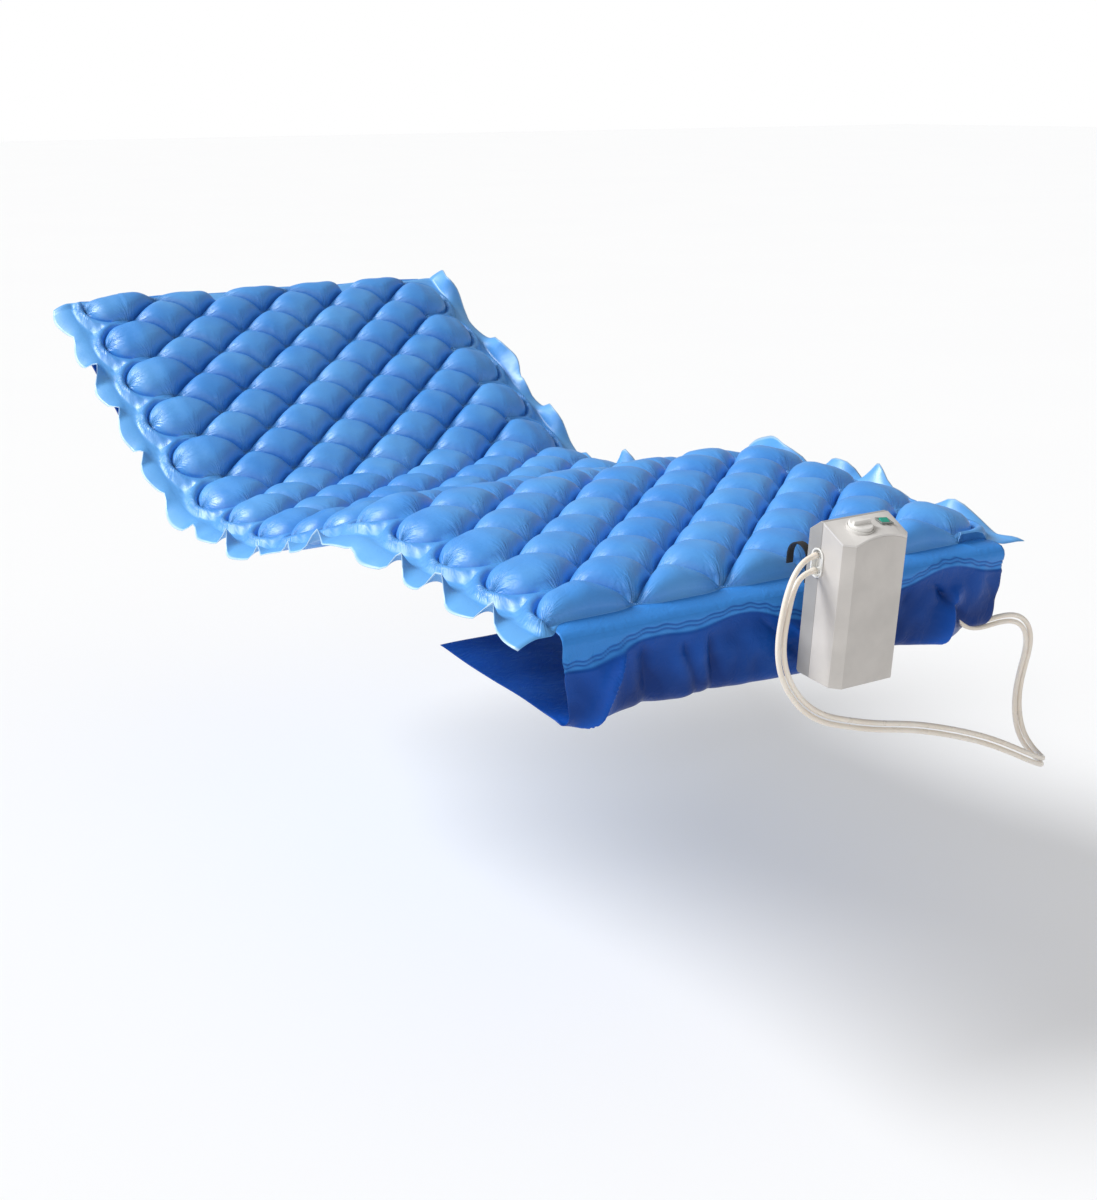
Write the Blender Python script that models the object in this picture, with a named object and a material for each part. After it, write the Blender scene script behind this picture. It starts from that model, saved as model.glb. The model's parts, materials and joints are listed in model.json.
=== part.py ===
"""Alternating-pressure overlay pad with its hanging air pump and twin hoses.

Frame: metres, +Z up, +Y towards the head end, +X to the pad's left as seen from the foot
looking back at it.  The origin is the middle of the seat section's underside.  The pad is
modelled part-raised, as a profiling bed holds it; each fold and each moving piece of the
pump hangs from an empty that stands on its joint axis.
"""

import math

import bmesh
import bpy
from mathutils import Matrix, Vector

# --- pad, measured along its length from the head edge of the cells ---------------------
ROWS = 27
ROW_PITCH = 0.069
FIRST_ROW = 0.095
PAD_LENGTH = 1.9745
PAD_THICKNESS = 0.065
FIELD_HALF = 0.44
STATION_COUNT = 12
CHANNEL_WIDTH = 0.030
SHEET_HALF = 0.478
SHEET_THICKNESS = 0.002
SHEET_BORDER = 0.022
CELL_FLOOR = 0.0023
CELL_TOP = 0.060
CELL_WIDE = 0.057
CELL_NECK = 0.008
CELL_TIP_GAP = 0.006
CELL_EDGE = 0.006
TOP_INSET = 0.016
NARROWEST = 0.003
FOLD_GAP = 0.0008
TOUCH_GAP = 0.0003

BACK_FOLD = 0.700
THIGH_FOLD = 1.0375
KNEE_FOLD = 1.4425
BACK_ANGLE = math.radians(28.5)
THIGH_ANGLE = math.radians(16.7)
CALF_ANGLE = math.radians(3.6)

FLAP_HALF = 0.44
FLAP_THICKNESS = 0.003
FLAP_DROP = 0.113
FLAP_TAIL = 0.366
NOTCH_X = 0.316
NOTCH_DEPTH = 0.064

# --- hoses ---------------------------------------------------------------------------
HOSE_RADIUS = 0.0042
HOSE_STEP = 0.021
PORT_X = (0.3350, 0.3600)
PORT_S = 1.985
PORT_BLOCK_DEPTH = 0.014
NIPPLE_LENGTH = 0.012

# --- pump, in its own frame: origin on the bed rail that its hooks hang from --------------
PUMP_X = 0.0275
RAIL_Y = -1.149
RAIL_Z = 0.151
PUMP_TILT = math.radians(4.8)
RAIL_RADIUS = 0.019
CASE_HALF = 0.0625
CASE_BACK = -0.0245
CASE_SEAM = -0.0525
CASE_FRONT = -0.1105
CASE_CHAMFER = 0.014
CASE_BOTTOM = -0.172
CASE_RIDGE = 0.0693
CASE_FRONT_TOP = 0.0428
CASE_FRONT_ARCH = 0.0165
CASE_BACK_TOP = 0.0524
CASE_WALL = 0.0025
PANEL_THICKNESS = 0.003

DIAL_AT = (-0.018, -0.081)
DIAL_SLOPE = math.radians(12.0)
DIAL_RADIUS = 0.0185
SWITCH_AT = (0.033, -0.076)
SWITCH_SLOPE = math.radians(13.0)
SWITCH_ROLL = math.radians(6.5)
SWITCH_LIFT = 0.0006
OUTLET_Y = -0.0480
OUTLET_Z = 0.0066
OUTLET_SPREAD = 0.0115
HOOK_PIN_X = 0.0455
HOOK_PIN_Y = -0.0214
HOOK_INNER = 0.0200
HOOK_OUTER = 0.0225

# --- compressor, in the pump's frame ---------------------------------------------------
INSIDE_Y = -0.0675
FRAME_BOTTOM = -0.152
SHELF_Z = -0.057
ARM_X = 0.0322
ARM_PIVOT_Z = -0.067
MOTOR_BOTTOM = -0.0527
ROUND_SIDES = 16


def clear_scene():
    for existing in list(bpy.data.objects):
        bpy.data.objects.remove(existing, do_unlink=True)


def material(name, color, roughness, metallic=0.0):
    made = bpy.data.materials.new(name)
    made.use_nodes = True
    shader = made.node_tree.nodes["Principled BSDF"]
    shader.inputs["Base Color"].default_value = (*color, 1.0)
    shader.inputs["Roughness"].default_value = roughness
    shader.inputs["Metallic"].default_value = metallic
    made.diffuse_color = (*color, 1.0)
    return made


def empty(name, location, angle=0.0, parent=None, roll=0.0):
    """A joint's axis stand: an empty turned about X, then about Y, under its parent if it has one."""
    made = bpy.data.objects.new(name, None)
    made.empty_display_size = 0.02
    made.location = location
    made.rotation_euler = (angle, roll, 0.0)
    made.parent = parent
    bpy.context.scene.collection.objects.link(made)
    return made


def finish_mesh(name, bm, parent, look, smooth=False, location=(0, 0, 0), rotation=(0, 0, 0)):
    bmesh.ops.recalc_face_normals(bm, faces=bm.faces)
    mesh = bpy.data.meshes.new(name)
    bm.to_mesh(mesh)
    bm.free()
    if smooth:
        mesh.shade_smooth()
        mesh.set_sharp_from_angle(angle=math.radians(35))
    mesh.materials.append(look)
    made = bpy.data.objects.new(name, mesh)
    made.location = location
    made.rotation_euler = rotation
    made.parent = parent
    bpy.context.scene.collection.objects.link(made)
    return made


def loft(name, rings, parent, look, closed=False, **placing):
    """A solid through rings of equal point counts: capped at both ends, or a closed band."""
    bm = bmesh.new()
    loops = [[bm.verts.new(point) for point in ring] for ring in rings]
    pairs = list(zip(loops, loops[1:]))
    if closed:
        pairs.append((loops[-1], loops[0]))
    else:
        bm.faces.new(loops[0])
        bm.faces.new(loops[-1])
    count = len(loops[0])
    for lower, upper in pairs:
        for i in range(count):
            j = (i + 1) % count
            bm.faces.new((lower[i], lower[j], upper[j], upper[i]))
    return finish_mesh(name, bm, parent, look, **placing)


def box(name, low, high, parent, look, **placing):
    corners = ((low[0], low[1]), (high[0], low[1]), (high[0], high[1]), (low[0], high[1]))
    rings = [[(x, y, z) for x, y in corners] for z in (low[2], high[2])]
    return loft(name, rings, parent, look, **placing)


def extruded(name, profile, low_x, high_x, parent, look, **placing):
    """A (y, z) profile swept along X."""
    rings = [[(x, y, z) for y, z in profile] for x in (low_x, high_x)]
    return loft(name, rings, parent, look, **placing)


def circle(radius, height, sides):
    steps = [2 * math.pi * i / sides for i in range(sides)]
    return [(radius * math.cos(a), radius * math.sin(a), height) for a in steps]


def turned(name, profile, parent, look, sides=ROUND_SIDES, closed=False, **placing):
    """A round solid about local Z from (radius, height) steps."""
    rings = [circle(radius, height, sides) for radius, height in profile]
    return loft(name, rings, parent, look, closed=closed, smooth=True, **placing)


def stadium(width, height, x, segments=6):
    """A slot outline in the plane of this x: round ends up and down, straight sides."""
    radius = width / 2
    rise = height / 2 - radius
    points = []
    for centre, start in ((rise, 0.0), (-rise, math.pi)):
        for i in range(segments + 1):
            angle = start + math.pi * i / segments
            points.append((x, radius * math.cos(angle), centre + radius * math.sin(angle)))
    return points


def helper(cutter):
    cutter.hide_render = True
    cutter.display_type = "WIRE"
    return cutter


def combine(target, tool, operation="DIFFERENCE"):
    modifier = target.modifiers.new(operation.lower(), "BOOLEAN")
    modifier.operation = operation
    modifier.object = helper(tool)
    modifier.solver = "EXACT"


def smooth_path(points, step):
    """Points every step along a centripetal Catmull-Rom curve through the given ones."""
    knots = [Vector(p) for p in points]
    knots = [2 * knots[0] - knots[1]] + knots + [2 * knots[-1] - knots[-2]]
    dense = []
    for a, b, c, d in zip(knots, knots[1:], knots[2:], knots[3:]):
        t1 = (b - a).length ** 0.5
        t2 = t1 + (c - b).length ** 0.5
        t3 = t2 + (d - c).length ** 0.5
        for i in range(16):
            t = t1 + (t2 - t1) * i / 16
            ab = a.lerp(b, t / t1)
            bc = b.lerp(c, (t - t1) / (t2 - t1))
            cd = c.lerp(d, (t - t2) / (t3 - t2))
            abc = ab.lerp(bc, t / t2)
            bcd = bc.lerp(cd, (t - t1) / (t3 - t1))
            dense.append(abc.lerp(bcd, (t - t1) / (t2 - t1)))
    dense.append(knots[-2])
    lengths = [0.0]
    for before, after in zip(dense, dense[1:]):
        lengths.append(lengths[-1] + (after - before).length)
    count = max(2, round(lengths[-1] / step))
    path = []
    at = 0
    for i in range(count + 1):
        wanted = lengths[-1] * i / count
        while at < len(dense) - 2 and lengths[at + 1] < wanted:
            at += 1
        share = (wanted - lengths[at]) / (lengths[at + 1] - lengths[at])
        path.append(dense[at].lerp(dense[at + 1], min(share, 1.0)))
    return path


def tube(name, points, radius, parent, look, bevel_resolution=2):
    curve = bpy.data.curves.new(name, "CURVE")
    curve.dimensions = "3D"
    curve.bevel_depth = radius
    curve.bevel_resolution = bevel_resolution
    curve.use_fill_caps = True
    spline = curve.splines.new("POLY")
    spline.points.add(len(points) - 1)
    for knot, point in zip(spline.points, points):
        knot.co = (*point, 1.0)
    curve.materials.append(look)
    made = bpy.data.objects.new(name, curve)
    made.parent = parent
    bpy.context.scene.collection.objects.link(made)
    return made


# --- pad ---------------------------------------------------------------------------------


def row_centre(row):
    return FIRST_ROW + ROW_PITCH * row


def row_edge(row, station, side, inset):
    """Where a row of cells ends, towards the head (side -1) or the foot (side +1)."""
    if row == -1 and side < 0:
        return CELL_EDGE + inset / 2
    if row == ROWS and side > 0:
        return PAD_LENGTH - CELL_EDGE - inset / 2
    wide = (station + row) % 2 == 0
    half = CELL_WIDE if wide else CELL_NECK
    return row_centre(row) + side * max(half - inset, NARROWEST)


def comb_outline(rows, hand, inset):
    """The outline, as (x, s), of a side channel and the rows of cells that it feeds."""
    order = range(STATION_COUNT) if hand < 0 else range(STATION_COUNT - 1, -1, -1)
    spacing = 2 * FIELD_HALF / (STATION_COUNT - 1)
    xs = {station: -FIELD_HALF + spacing * station for station in order}
    root, tip = list(order)[0], list(order)[-1]
    xs[tip] = -hand * (FIELD_HALF - CELL_TIP_GAP - inset)
    outer = hand * (FIELD_HALF + CHANNEL_WIDTH - inset)
    outline = [(outer, row_edge(rows[-1], root, 1, inset)), (outer, row_edge(rows[0], root, -1, inset))]
    for row in rows:
        outline += [(xs[k], row_edge(row, k, -1, inset)) for k in order]
        outline += [(xs[k], row_edge(row, k, 1, inset)) for k in reversed(order)]
    return outline


def cells(name, rows, hand, fold, floor, parent, look):
    """One circuit's share of a section: rows of cells on a common side channel."""
    rings = []
    for inset, height in ((0.0, CELL_FLOOR), (TOP_INSET, CELL_TOP)):
        outline = comb_outline(rows, hand, inset)
        rings.append([(x, fold - s, height - floor) for x, s in outline])
    return loft(name, rings, parent, look)


def sheet_edge(row, step):
    """The zigzag weld between this row and the next, shifted a step; straight at the pad's ends."""
    if row < -1:
        return [(SHEET_HALF, -SHEET_BORDER), (-SHEET_HALF, -SHEET_BORDER)]
    if row >= ROWS:
        return [(SHEET_HALF, PAD_LENGTH + SHEET_BORDER), (-SHEET_HALF, PAD_LENGTH + SHEET_BORDER)]
    spacing = 2 * FIELD_HALF / (STATION_COUNT - 1)
    points = []
    for station in reversed(range(STATION_COUNT)):
        above = row_edge(row, station, 1, 0.0)
        below = row_edge(row + 1, station, -1, 0.0)
        points.append((-FIELD_HALF + spacing * station, (above + below) / 2 + step))
    return [(SHEET_HALF, points[0][1])] + points + [(-SHEET_HALF, points[-1][1])]


def sheet(name, rows, fold, floor, parent, look):
    """The bottom film of a section, cut along the zigzag welds between rows."""
    headward = sheet_edge(rows[0] - 1, FOLD_GAP)
    footward = sheet_edge(rows[-1], -FOLD_GAP)
    outline = headward + footward[::-1]
    heights = (-floor, SHEET_THICKNESS - floor)
    rings = [[(x, fold - s, height) for x, s in outline] for height in heights]
    return loft(name, rings, parent, look)


def pad_section(name, rows, fold, floor, parent, looks):
    even = [row for row in rows if row % 2 == 0]
    odd = [row for row in rows if row % 2 == 1]
    cells(name + "_cells_a", even, -1, fold, floor, parent, looks["cells"])
    cells(name + "_cells_b", odd, 1, fold, floor, parent, looks["cells"])
    sheet(name + "_sheet", rows, fold, floor, parent, looks["sheet"])


def flap(name, edge, outwards, fold, floor, parent, look, notch=0.0):
    """A tuck-under flap past one end of the pad: its drop, and its tail under the mattress.

    The tail may have a notch this deep at its +X corner, where the hoses come up.
    """
    near = fold - edge + outwards * TOUCH_GAP
    far = near + outwards * FLAP_THICKNESS
    under = -FLAP_DROP - floor
    low = (-FLAP_HALF, min(near, far), under)
    high = (FLAP_HALF, max(near, far), SHEET_THICKNESS - floor)
    box(name + "_drop", low, high, parent, look)
    inner = far - outwards * FLAP_TAIL
    step = far - outwards * notch
    outline = [(-FLAP_HALF, far), (-FLAP_HALF, inner), (FLAP_HALF, inner)]
    if notch:
        outline += [(FLAP_HALF, step), (NOTCH_X, step), (NOTCH_X, far)]
    else:
        outline += [(FLAP_HALF, far)]
    top = under - TOUCH_GAP
    rings = [[(x, y, z) for x, y in outline] for z in (top - FLAP_THICKNESS, top)]
    loft(name + "_tail", rings, parent, look)


def pad_inlets(knee, looks):
    """The welded block under the foot edge, and its two elbows' barbed ends."""
    y = KNEE_FOLD - PORT_S
    low = (PORT_X[0] - 0.015, y - 0.0095, -PORT_BLOCK_DEPTH)
    high = (PORT_X[1] + 0.015, y + 0.0095, -TOUCH_GAP)
    box("hose_port_block", low, high, knee, looks["sheet"])
    top = -PORT_BLOCK_DEPTH - TOUCH_GAP
    barb = [(0.0036, top), (0.0048, top - 0.003), (0.0038, top - 0.0032)]
    barb += [(0.0048, top - 0.008), (0.0036, top - NIPPLE_LENGTH)]
    for name, x in zip(("pad_nipple_a", "pad_nipple_b"), PORT_X):
        turned(name, barb, knee, looks["white"], sides=12, location=(x, y, 0))


def build_pad(looks):
    top = PAD_THICKNESS
    half_seat = (THIGH_FOLD - BACK_FOLD) / 2
    seat = empty("seat_frame", (0, 0, 0))
    back = empty("back_fold", (0, half_seat, top), BACK_ANGLE)
    thigh = empty("thigh_fold", (0, -half_seat, top), -THIGH_ANGLE)
    knee_at = (0, THIGH_FOLD - KNEE_FOLD, -top)
    knee = empty("knee_fold", knee_at, THIGH_ANGLE + CALF_ANGLE, parent=thigh)
    plan = (
        ("back", range(-1, 9), BACK_FOLD, top, back),
        ("seat", range(9, 14), BACK_FOLD + half_seat, 0.0, seat),
        ("thigh", range(14, 20), THIGH_FOLD, top, thigh),
        ("calf", range(20, ROWS + 1), KNEE_FOLD, 0.0, knee),
    )
    for name, rows, fold, floor, parent in plan:
        pad_section(name, rows, fold, floor, parent, looks)
    flap("head_flap", -SHEET_BORDER, 1, BACK_FOLD, top, back, looks["flap"])
    foot = PAD_LENGTH + SHEET_BORDER
    flap("foot_flap", foot, -1, KNEE_FOLD, 0.0, knee, looks["flap"], notch=NOTCH_DEPTH)
    pad_inlets(knee, looks)


# --- hoses -------------------------------------------------------------------------------

# Each row: a point midway between the two hoses, then half of their separation there.
HOSE_ROUTE = (
    ((-0.0456, -1.1976, 0.1538), (0.0, -0.0010, 0.0115)),
    ((-0.0560, -1.1976, 0.1538), (0.0, -0.0010, 0.0115)),
    ((-0.0740, -1.1990, 0.1430), (-0.0040, -0.0020, 0.0062)),
    ((-0.0880, -1.2010, 0.1180), (-0.0055, -0.0010, 0.0030)),
    ((-0.0980, -1.2025, 0.0830), (-0.0054, 0.0, 0.0012)),
    ((-0.1045, -1.2030, 0.0440), (-0.0054, 0.0, 0.0002)),
    ((-0.1000, -1.2030, 0.0060), (-0.0053, 0.0, -0.0012)),
    ((-0.0820, -1.2028, -0.0310), (-0.0047, 0.0, -0.0027)),
    ((-0.0530, -1.2020, -0.0640), (-0.0035, 0.0, -0.0041)),
    ((-0.0150, -1.2010, -0.0890), (-0.0025, 0.0, -0.0048)),
    ((0.0330, -1.1990, -0.1070), (-0.0018, 0.0, -0.0051)),
    ((0.0960, -1.1970, -0.1260), (-0.0015, 0.0, -0.0052)),
    ((0.1830, -1.1940, -0.1470), (-0.0014, 0.0, -0.0052)),
    ((0.2710, -1.1910, -0.1750), (-0.0017, 0.0, -0.0051)),
    ((0.3560, -1.1890, -0.2080), (-0.0021, 0.0, -0.0050)),
    ((0.4220, -1.1880, -0.2400), (-0.0024, 0.0, -0.0049)),
    ((0.4800, -1.1860, -0.2700), (-0.0022, 0.0, -0.0050)),
    ((0.5210, -1.1690, -0.2880), (-0.0012, 0.0, -0.0053)),
    ((0.5330, -1.1430, -0.2880), (0.0, 0.0006, -0.0054)),
    ((0.5250, -1.1180, -0.2640), (-0.0020, 0.0020, -0.0046)),
    ((0.5160, -1.1080, -0.2200), (-0.0052, 0.0006, -0.0012)),
    ((0.5140, -1.1070, -0.1760), (-0.0054, 0.0, 0.0)),
    ((0.5230, -1.1070, -0.1340), (-0.0051, 0.0, 0.0016)),
    ((0.5330, -1.1070, -0.0990), (-0.0054, 0.0, 0.0006)),
    ((0.5280, -1.1060, -0.0660), (-0.0044, 0.0, -0.0031)),
    ((0.5040, -1.1030, -0.0460), (-0.0018, 0.0, -0.0051)),
    ((0.4640, -1.1000, -0.0425), (0.0, 0.0, -0.0054)),
    ((0.4180, -1.1020, -0.0440), (-0.0002, 0.0, -0.0054)),
    ((0.3800, -1.1060, -0.0330), (-0.0038, 0.0, -0.0056)),
    ((0.3540, -1.1105, -0.0060), (-0.0090, 0.0, -0.0040)),
    ((0.3475, -1.1132, 0.0285), (-0.0125, 0.0, 0.0)),
    ((0.3475, -1.1151, 0.0583), (-0.0125, 0.0, 0.0)),
)


def build_hoses(looks):
    for name, sign in (("hose_a", 1), ("hose_b", -1)):
        route = [Vector(point) + sign * Vector(half) for point, half in HOSE_ROUTE]
        path = [route[0]] + smooth_path(route[1:-1], HOSE_STEP) + [route[-1]]
        tube(name, path, HOSE_RADIUS, None, looks["hose"])


# --- pump case ---------------------------------------------------------------------------


def case_front(x, inset=0.0):
    """The front face's depth at this x: flat, with a chamfer down each side."""
    flat_half = CASE_HALF - CASE_CHAMFER
    past = max(0.0, abs(x) - flat_half)
    return CASE_FRONT + inset + past


def panel_height(x, y):
    """The top of the control panel: highest along the seam, arched along the front."""
    arch = CASE_FRONT_ARCH * (1 - (x / CASE_HALF) ** 2)
    share = (CASE_SEAM - y) / (CASE_SEAM - CASE_FRONT)
    return CASE_RIDGE + (CASE_FRONT_TOP + arch - CASE_RIDGE) * share


def case_stations(half):
    flat_half = CASE_HALF - CASE_CHAMFER
    return (-half, *(flat_half * step / 4 for step in range(-4, 5)), half)


def case_block(name, half, back, inset, bottom, top, parent, look):
    """A block with the case's plan; bottom and top give its heights at (x, y)."""
    front = [(x, case_front(x, inset)) for x in case_stations(half)]
    rear = [(x, back) for x in reversed(case_stations(half))]
    bm = bmesh.new()
    plan = front + rear
    low = [bm.verts.new((x, y, bottom(x, y))) for x, y in plan]
    high = [bm.verts.new((x, y, top(x, y))) for x, y in plan]
    count = len(plan)
    for i in range(count):
        j = (i + 1) % count
        bm.faces.new((low[i], low[j], high[j], high[i]))
    for i in range(len(front) - 1):
        j = count - 1 - i
        for ring in (low, high):
            bm.faces.new((ring[i], ring[i + 1], ring[j - 1]))
            bm.faces.new((ring[i], ring[j - 1], ring[j]))
    return finish_mesh(name, bm, parent, look)


def outlet_slot(name, width, height, low_x, high_x, pump, look):
    rings = [stadium(width, height, x) for x in (low_x, high_x)]
    return loft(name, rings, pump, look, location=(0, OUTLET_Y, OUTLET_Z))


def build_front_shell(pump, looks):
    def rim(x, y):
        return panel_height(x, y) - PANEL_THICKNESS - TOUCH_GAP

    seam = CASE_SEAM
    shell = case_block(
        "front_shell", CASE_HALF, seam, 0.0, lambda x, y: CASE_BOTTOM, rim, pump, looks["case"]
    )
    inner_half = CASE_HALF - CASE_WALL
    floor = CASE_BOTTOM + CASE_WALL
    hollow = case_block(
        "front_hollow", inner_half, seam + 0.01, CASE_WALL,
        lambda x, y: floor, lambda x, y: CASE_RIDGE + 0.01, pump, looks["case"],
    )
    combine(shell, hollow)
    slot = outlet_slot("outlet_cutter", 0.0226, 0.0436, -0.08, -0.05, pump, looks["case"])
    combine(shell, slot)
    return slot


def build_back_shell(pump, slot, looks):
    seam, back = CASE_SEAM + TOUCH_GAP, CASE_BACK
    crown = (seam + 0.006, CASE_RIDGE)
    outline = [(seam, CASE_BOTTOM), (back - 0.004, CASE_BOTTOM), (back, CASE_BOTTOM + 0.004)]
    outline += [(back, CASE_BACK_TOP), crown, (seam, CASE_RIDGE)]
    shell = extruded("back_shell", outline, -CASE_HALF, CASE_HALF, pump, looks["back"])
    wall = CASE_WALL
    hollow = [(seam - 0.01, CASE_BOTTOM + wall), (back - wall, CASE_BOTTOM + wall)]
    hollow += [(back - wall, CASE_BACK_TOP - wall), (crown[0], CASE_RIDGE - wall)]
    hollow += [(seam - 0.01, CASE_RIDGE - wall)]
    inner = CASE_HALF - wall
    combine(shell, extruded("back_hollow", hollow, -inner, inner, pump, looks["back"]))
    combine(shell, slot)
    slot_low = (-0.017, back - 0.01, -0.140)
    slot_high = (0.017, back + 0.01, -0.112)
    combine(shell, box("filter_cutter", slot_low, slot_high, pump, looks["back"]))


def build_control_panel(pump, looks):
    def underside(x, y):
        return panel_height(x, y) - PANEL_THICKNESS

    panel = case_block(
        "control_panel", CASE_HALF, CASE_SEAM, 0.0, underside, panel_height, pump, looks["case"]
    )
    hole = [(DIAL_RADIUS + 0.0028, -0.02), (DIAL_RADIUS + 0.0028, 0.02)]
    combine(panel, turned("dial_cutter", hole, pump, looks["case"], sides=24, **dial_place()))
    low, high = (-0.0108, -0.0073, -0.02), (0.0108, 0.0073, 0.02)
    combine(panel, box("switch_cutter", low, high, pump, looks["case"], **switch_place()))


def dial_place(lift=0.0):
    x, y = DIAL_AT
    z = panel_height(x, y) + lift
    return {"location": (x, y, z), "rotation": (DIAL_SLOPE, 0, 0)}


def switch_place():
    x, y = SWITCH_AT
    z = panel_height(x, y) + SWITCH_LIFT
    return {"location": (x, y, z), "rotation": (SWITCH_SLOPE, SWITCH_ROLL, 0)}


def build_dial(pump, looks):
    outer = DIAL_RADIUS + 0.0025
    inner = DIAL_RADIUS + 0.0006
    cup = [(0.0042, -0.009), (outer, -0.009), (outer, 0.0022), (inner, 0.0022)]
    cup += [(inner, -0.0065), (0.0042, -0.0065)]
    turned("dial_seat", cup, pump, looks["back"], sides=24, closed=True, **dial_place())
    axis = empty("dial_axis", dial_place()["location"], DIAL_SLOPE, parent=pump)
    knob = [(0.0038, -0.022), (0.0038, -0.006), (DIAL_RADIUS, -0.006)]
    knob += [(DIAL_RADIUS, 0.0055), (DIAL_RADIUS - 0.0015, 0.007)]
    dial = turned("pressure_dial", knob, axis, looks["case"], sides=24)
    grip = [(-0.0028, 0.006), (0.0028, 0.006), (0.0020, 0.0125), (-0.0020, 0.0125)]
    reach = DIAL_RADIUS - 0.0025
    combine(dial, extruded("dial_grip", grip, -reach, reach, axis, looks["case"]), "UNION")
    body = [(0.0048, -0.0245), (0.0048, -0.0095), (0.010, -0.0095), (0.010, -0.030)]
    body += [(0.0035, -0.030), (0.0035, -0.0245)]
    turned("regulator_body", body, pump, looks["brass"], closed=True, **dial_place())


def build_switch(pump, looks):
    frame = [
        [(x, y, z) for x, y in ((-a, -b), (a, -b), (a, b), (-a, b))]
        for a, b, z in (
            (0.0105, 0.0070, -0.010), (0.0105, 0.0070, 0.0009), (0.0122, 0.0088, 0.0009),
            (0.0122, 0.0088, 0.0022), (0.0086, 0.0052, 0.0022), (0.0086, 0.0052, -0.010),
        )
    ]
    loft("switch_bezel", frame, pump, looks["dark"], closed=True, **switch_place())
    place = switch_place()["location"]
    axis = empty("rocker_axis", place, SWITCH_SLOPE, parent=pump, roll=SWITCH_ROLL)
    crown = [(-0.0030, -0.006), (0.0030, -0.006), (0.0042, 0.0), (0.0042, 0.0046)]
    crown += [(0.0, 0.0030), (-0.0042, 0.0016), (-0.0042, 0.0)]
    half = 0.0080
    extruded("power_rocker", crown, -half, half, axis, looks["green"])


def build_outlets(pump, looks):
    """The white oval socket in the case's side, with the two barbed hose outlets."""
    face = -CASE_HALF
    steps = (
        (0.0220, 0.0430, face + 0.009), (0.0220, 0.0430, face - TOUCH_GAP),
        (0.0250, 0.0460, face - TOUCH_GAP), (0.0250, 0.0460, face - 0.0022),
        (0.0190, 0.0400, face - 0.0022), (0.0190, 0.0400, face + 0.007),
    )
    rings = [stadium(width, height, x) for width, height, x in steps]
    place = {"location": (0, OUTLET_Y, OUTLET_Z)}
    socket = loft("outlet_socket", rings, pump, looks["white"], **place)
    for name, rise in (("outlet_nipple_a", OUTLET_SPREAD), ("outlet_nipple_b", -OUTLET_SPREAD)):
        place = {"location": (face + 0.0018, OUTLET_Y, OUTLET_Z + rise), "rotation": (0, -math.pi / 2, 0)}
        stub = [(0.0032, -0.0133), (0.0032, -0.0080), (0.0030, -0.0078), (0.0030, -0.0040)]
        stub += [(0.0046, -0.0038), (0.0046, 0.0030), (0.0039, 0.0032), (0.0046, 0.0085)]
        stub += [(0.0036, 0.0120)]
        turned(name, stub, pump, looks["white"], sides=12, **place)
        bore = turned(name + "_bore", [(0.0034, -0.0079), (0.0034, -0.0035)], pump, looks["white"], **place)
        combine(socket, bore)


def build_hooks(pump, looks):
    for name, hand in (("left", -1), ("right", 1)):
        pin_at = (hand * HOOK_PIN_X, HOOK_PIN_Y, 0)
        collar, rod = 0.0019, 0.0013
        pin = [(collar, -0.0415), (collar, -0.0375), (rod, -0.0375), (rod, -0.0035)]
        pin += [(collar, -0.0035), (collar, 0.0005)]
        staple = turned(f"hook_pin_{name}", pin, pump, looks["steel"], sides=12, location=pin_at)
        for step, low_z in enumerate((-0.0415, -0.0035)):
            low = (pin_at[0] - 0.0015, CASE_BACK + TOUCH_GAP, low_z + 0.0003)
            high = (pin_at[0] + 0.0015, HOOK_PIN_Y, low_z + 0.0037)
            lug = box(f"hook_lug_{name}_{step}", low, high, pump, looks["steel"])
            combine(staple, lug, "UNION")
        axis = empty(f"hook_axis_{name}", pin_at, parent=pump)
        arc = [math.pi * (1 - i / 9) for i in range(10)]
        outer = [(HOOK_OUTER * math.cos(a), HOOK_OUTER * math.sin(a)) for a in arc]
        inner = [(HOOK_INNER * math.cos(a), HOOK_INNER * math.sin(a)) for a in reversed(arc)]
        strap = [(-HOOK_OUTER, -0.034)] + outer + [(HOOK_OUTER, -0.016), (HOOK_INNER, -0.016)]
        strap += inner + [(-HOOK_INNER, -0.034)]
        strap = [(y - HOOK_PIN_Y, z) for y, z in strap]
        low, high = sorted((hand * 0.0022, hand * 0.0140))
        hook = extruded(f"hook_{name}", strap, low, high, axis, looks["dark"])
        barrel = [(0.0027, -0.0372), (0.0027, -0.0038)]
        combine(hook, turned(f"hook_barrel_{name}", barrel, axis, looks["dark"]), "UNION")
        bore = [(0.0016, -0.05), (0.0016, 0.01)]
        combine(hook, turned(f"hook_bore_{name}", bore, axis, looks["dark"], sides=12))


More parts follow.
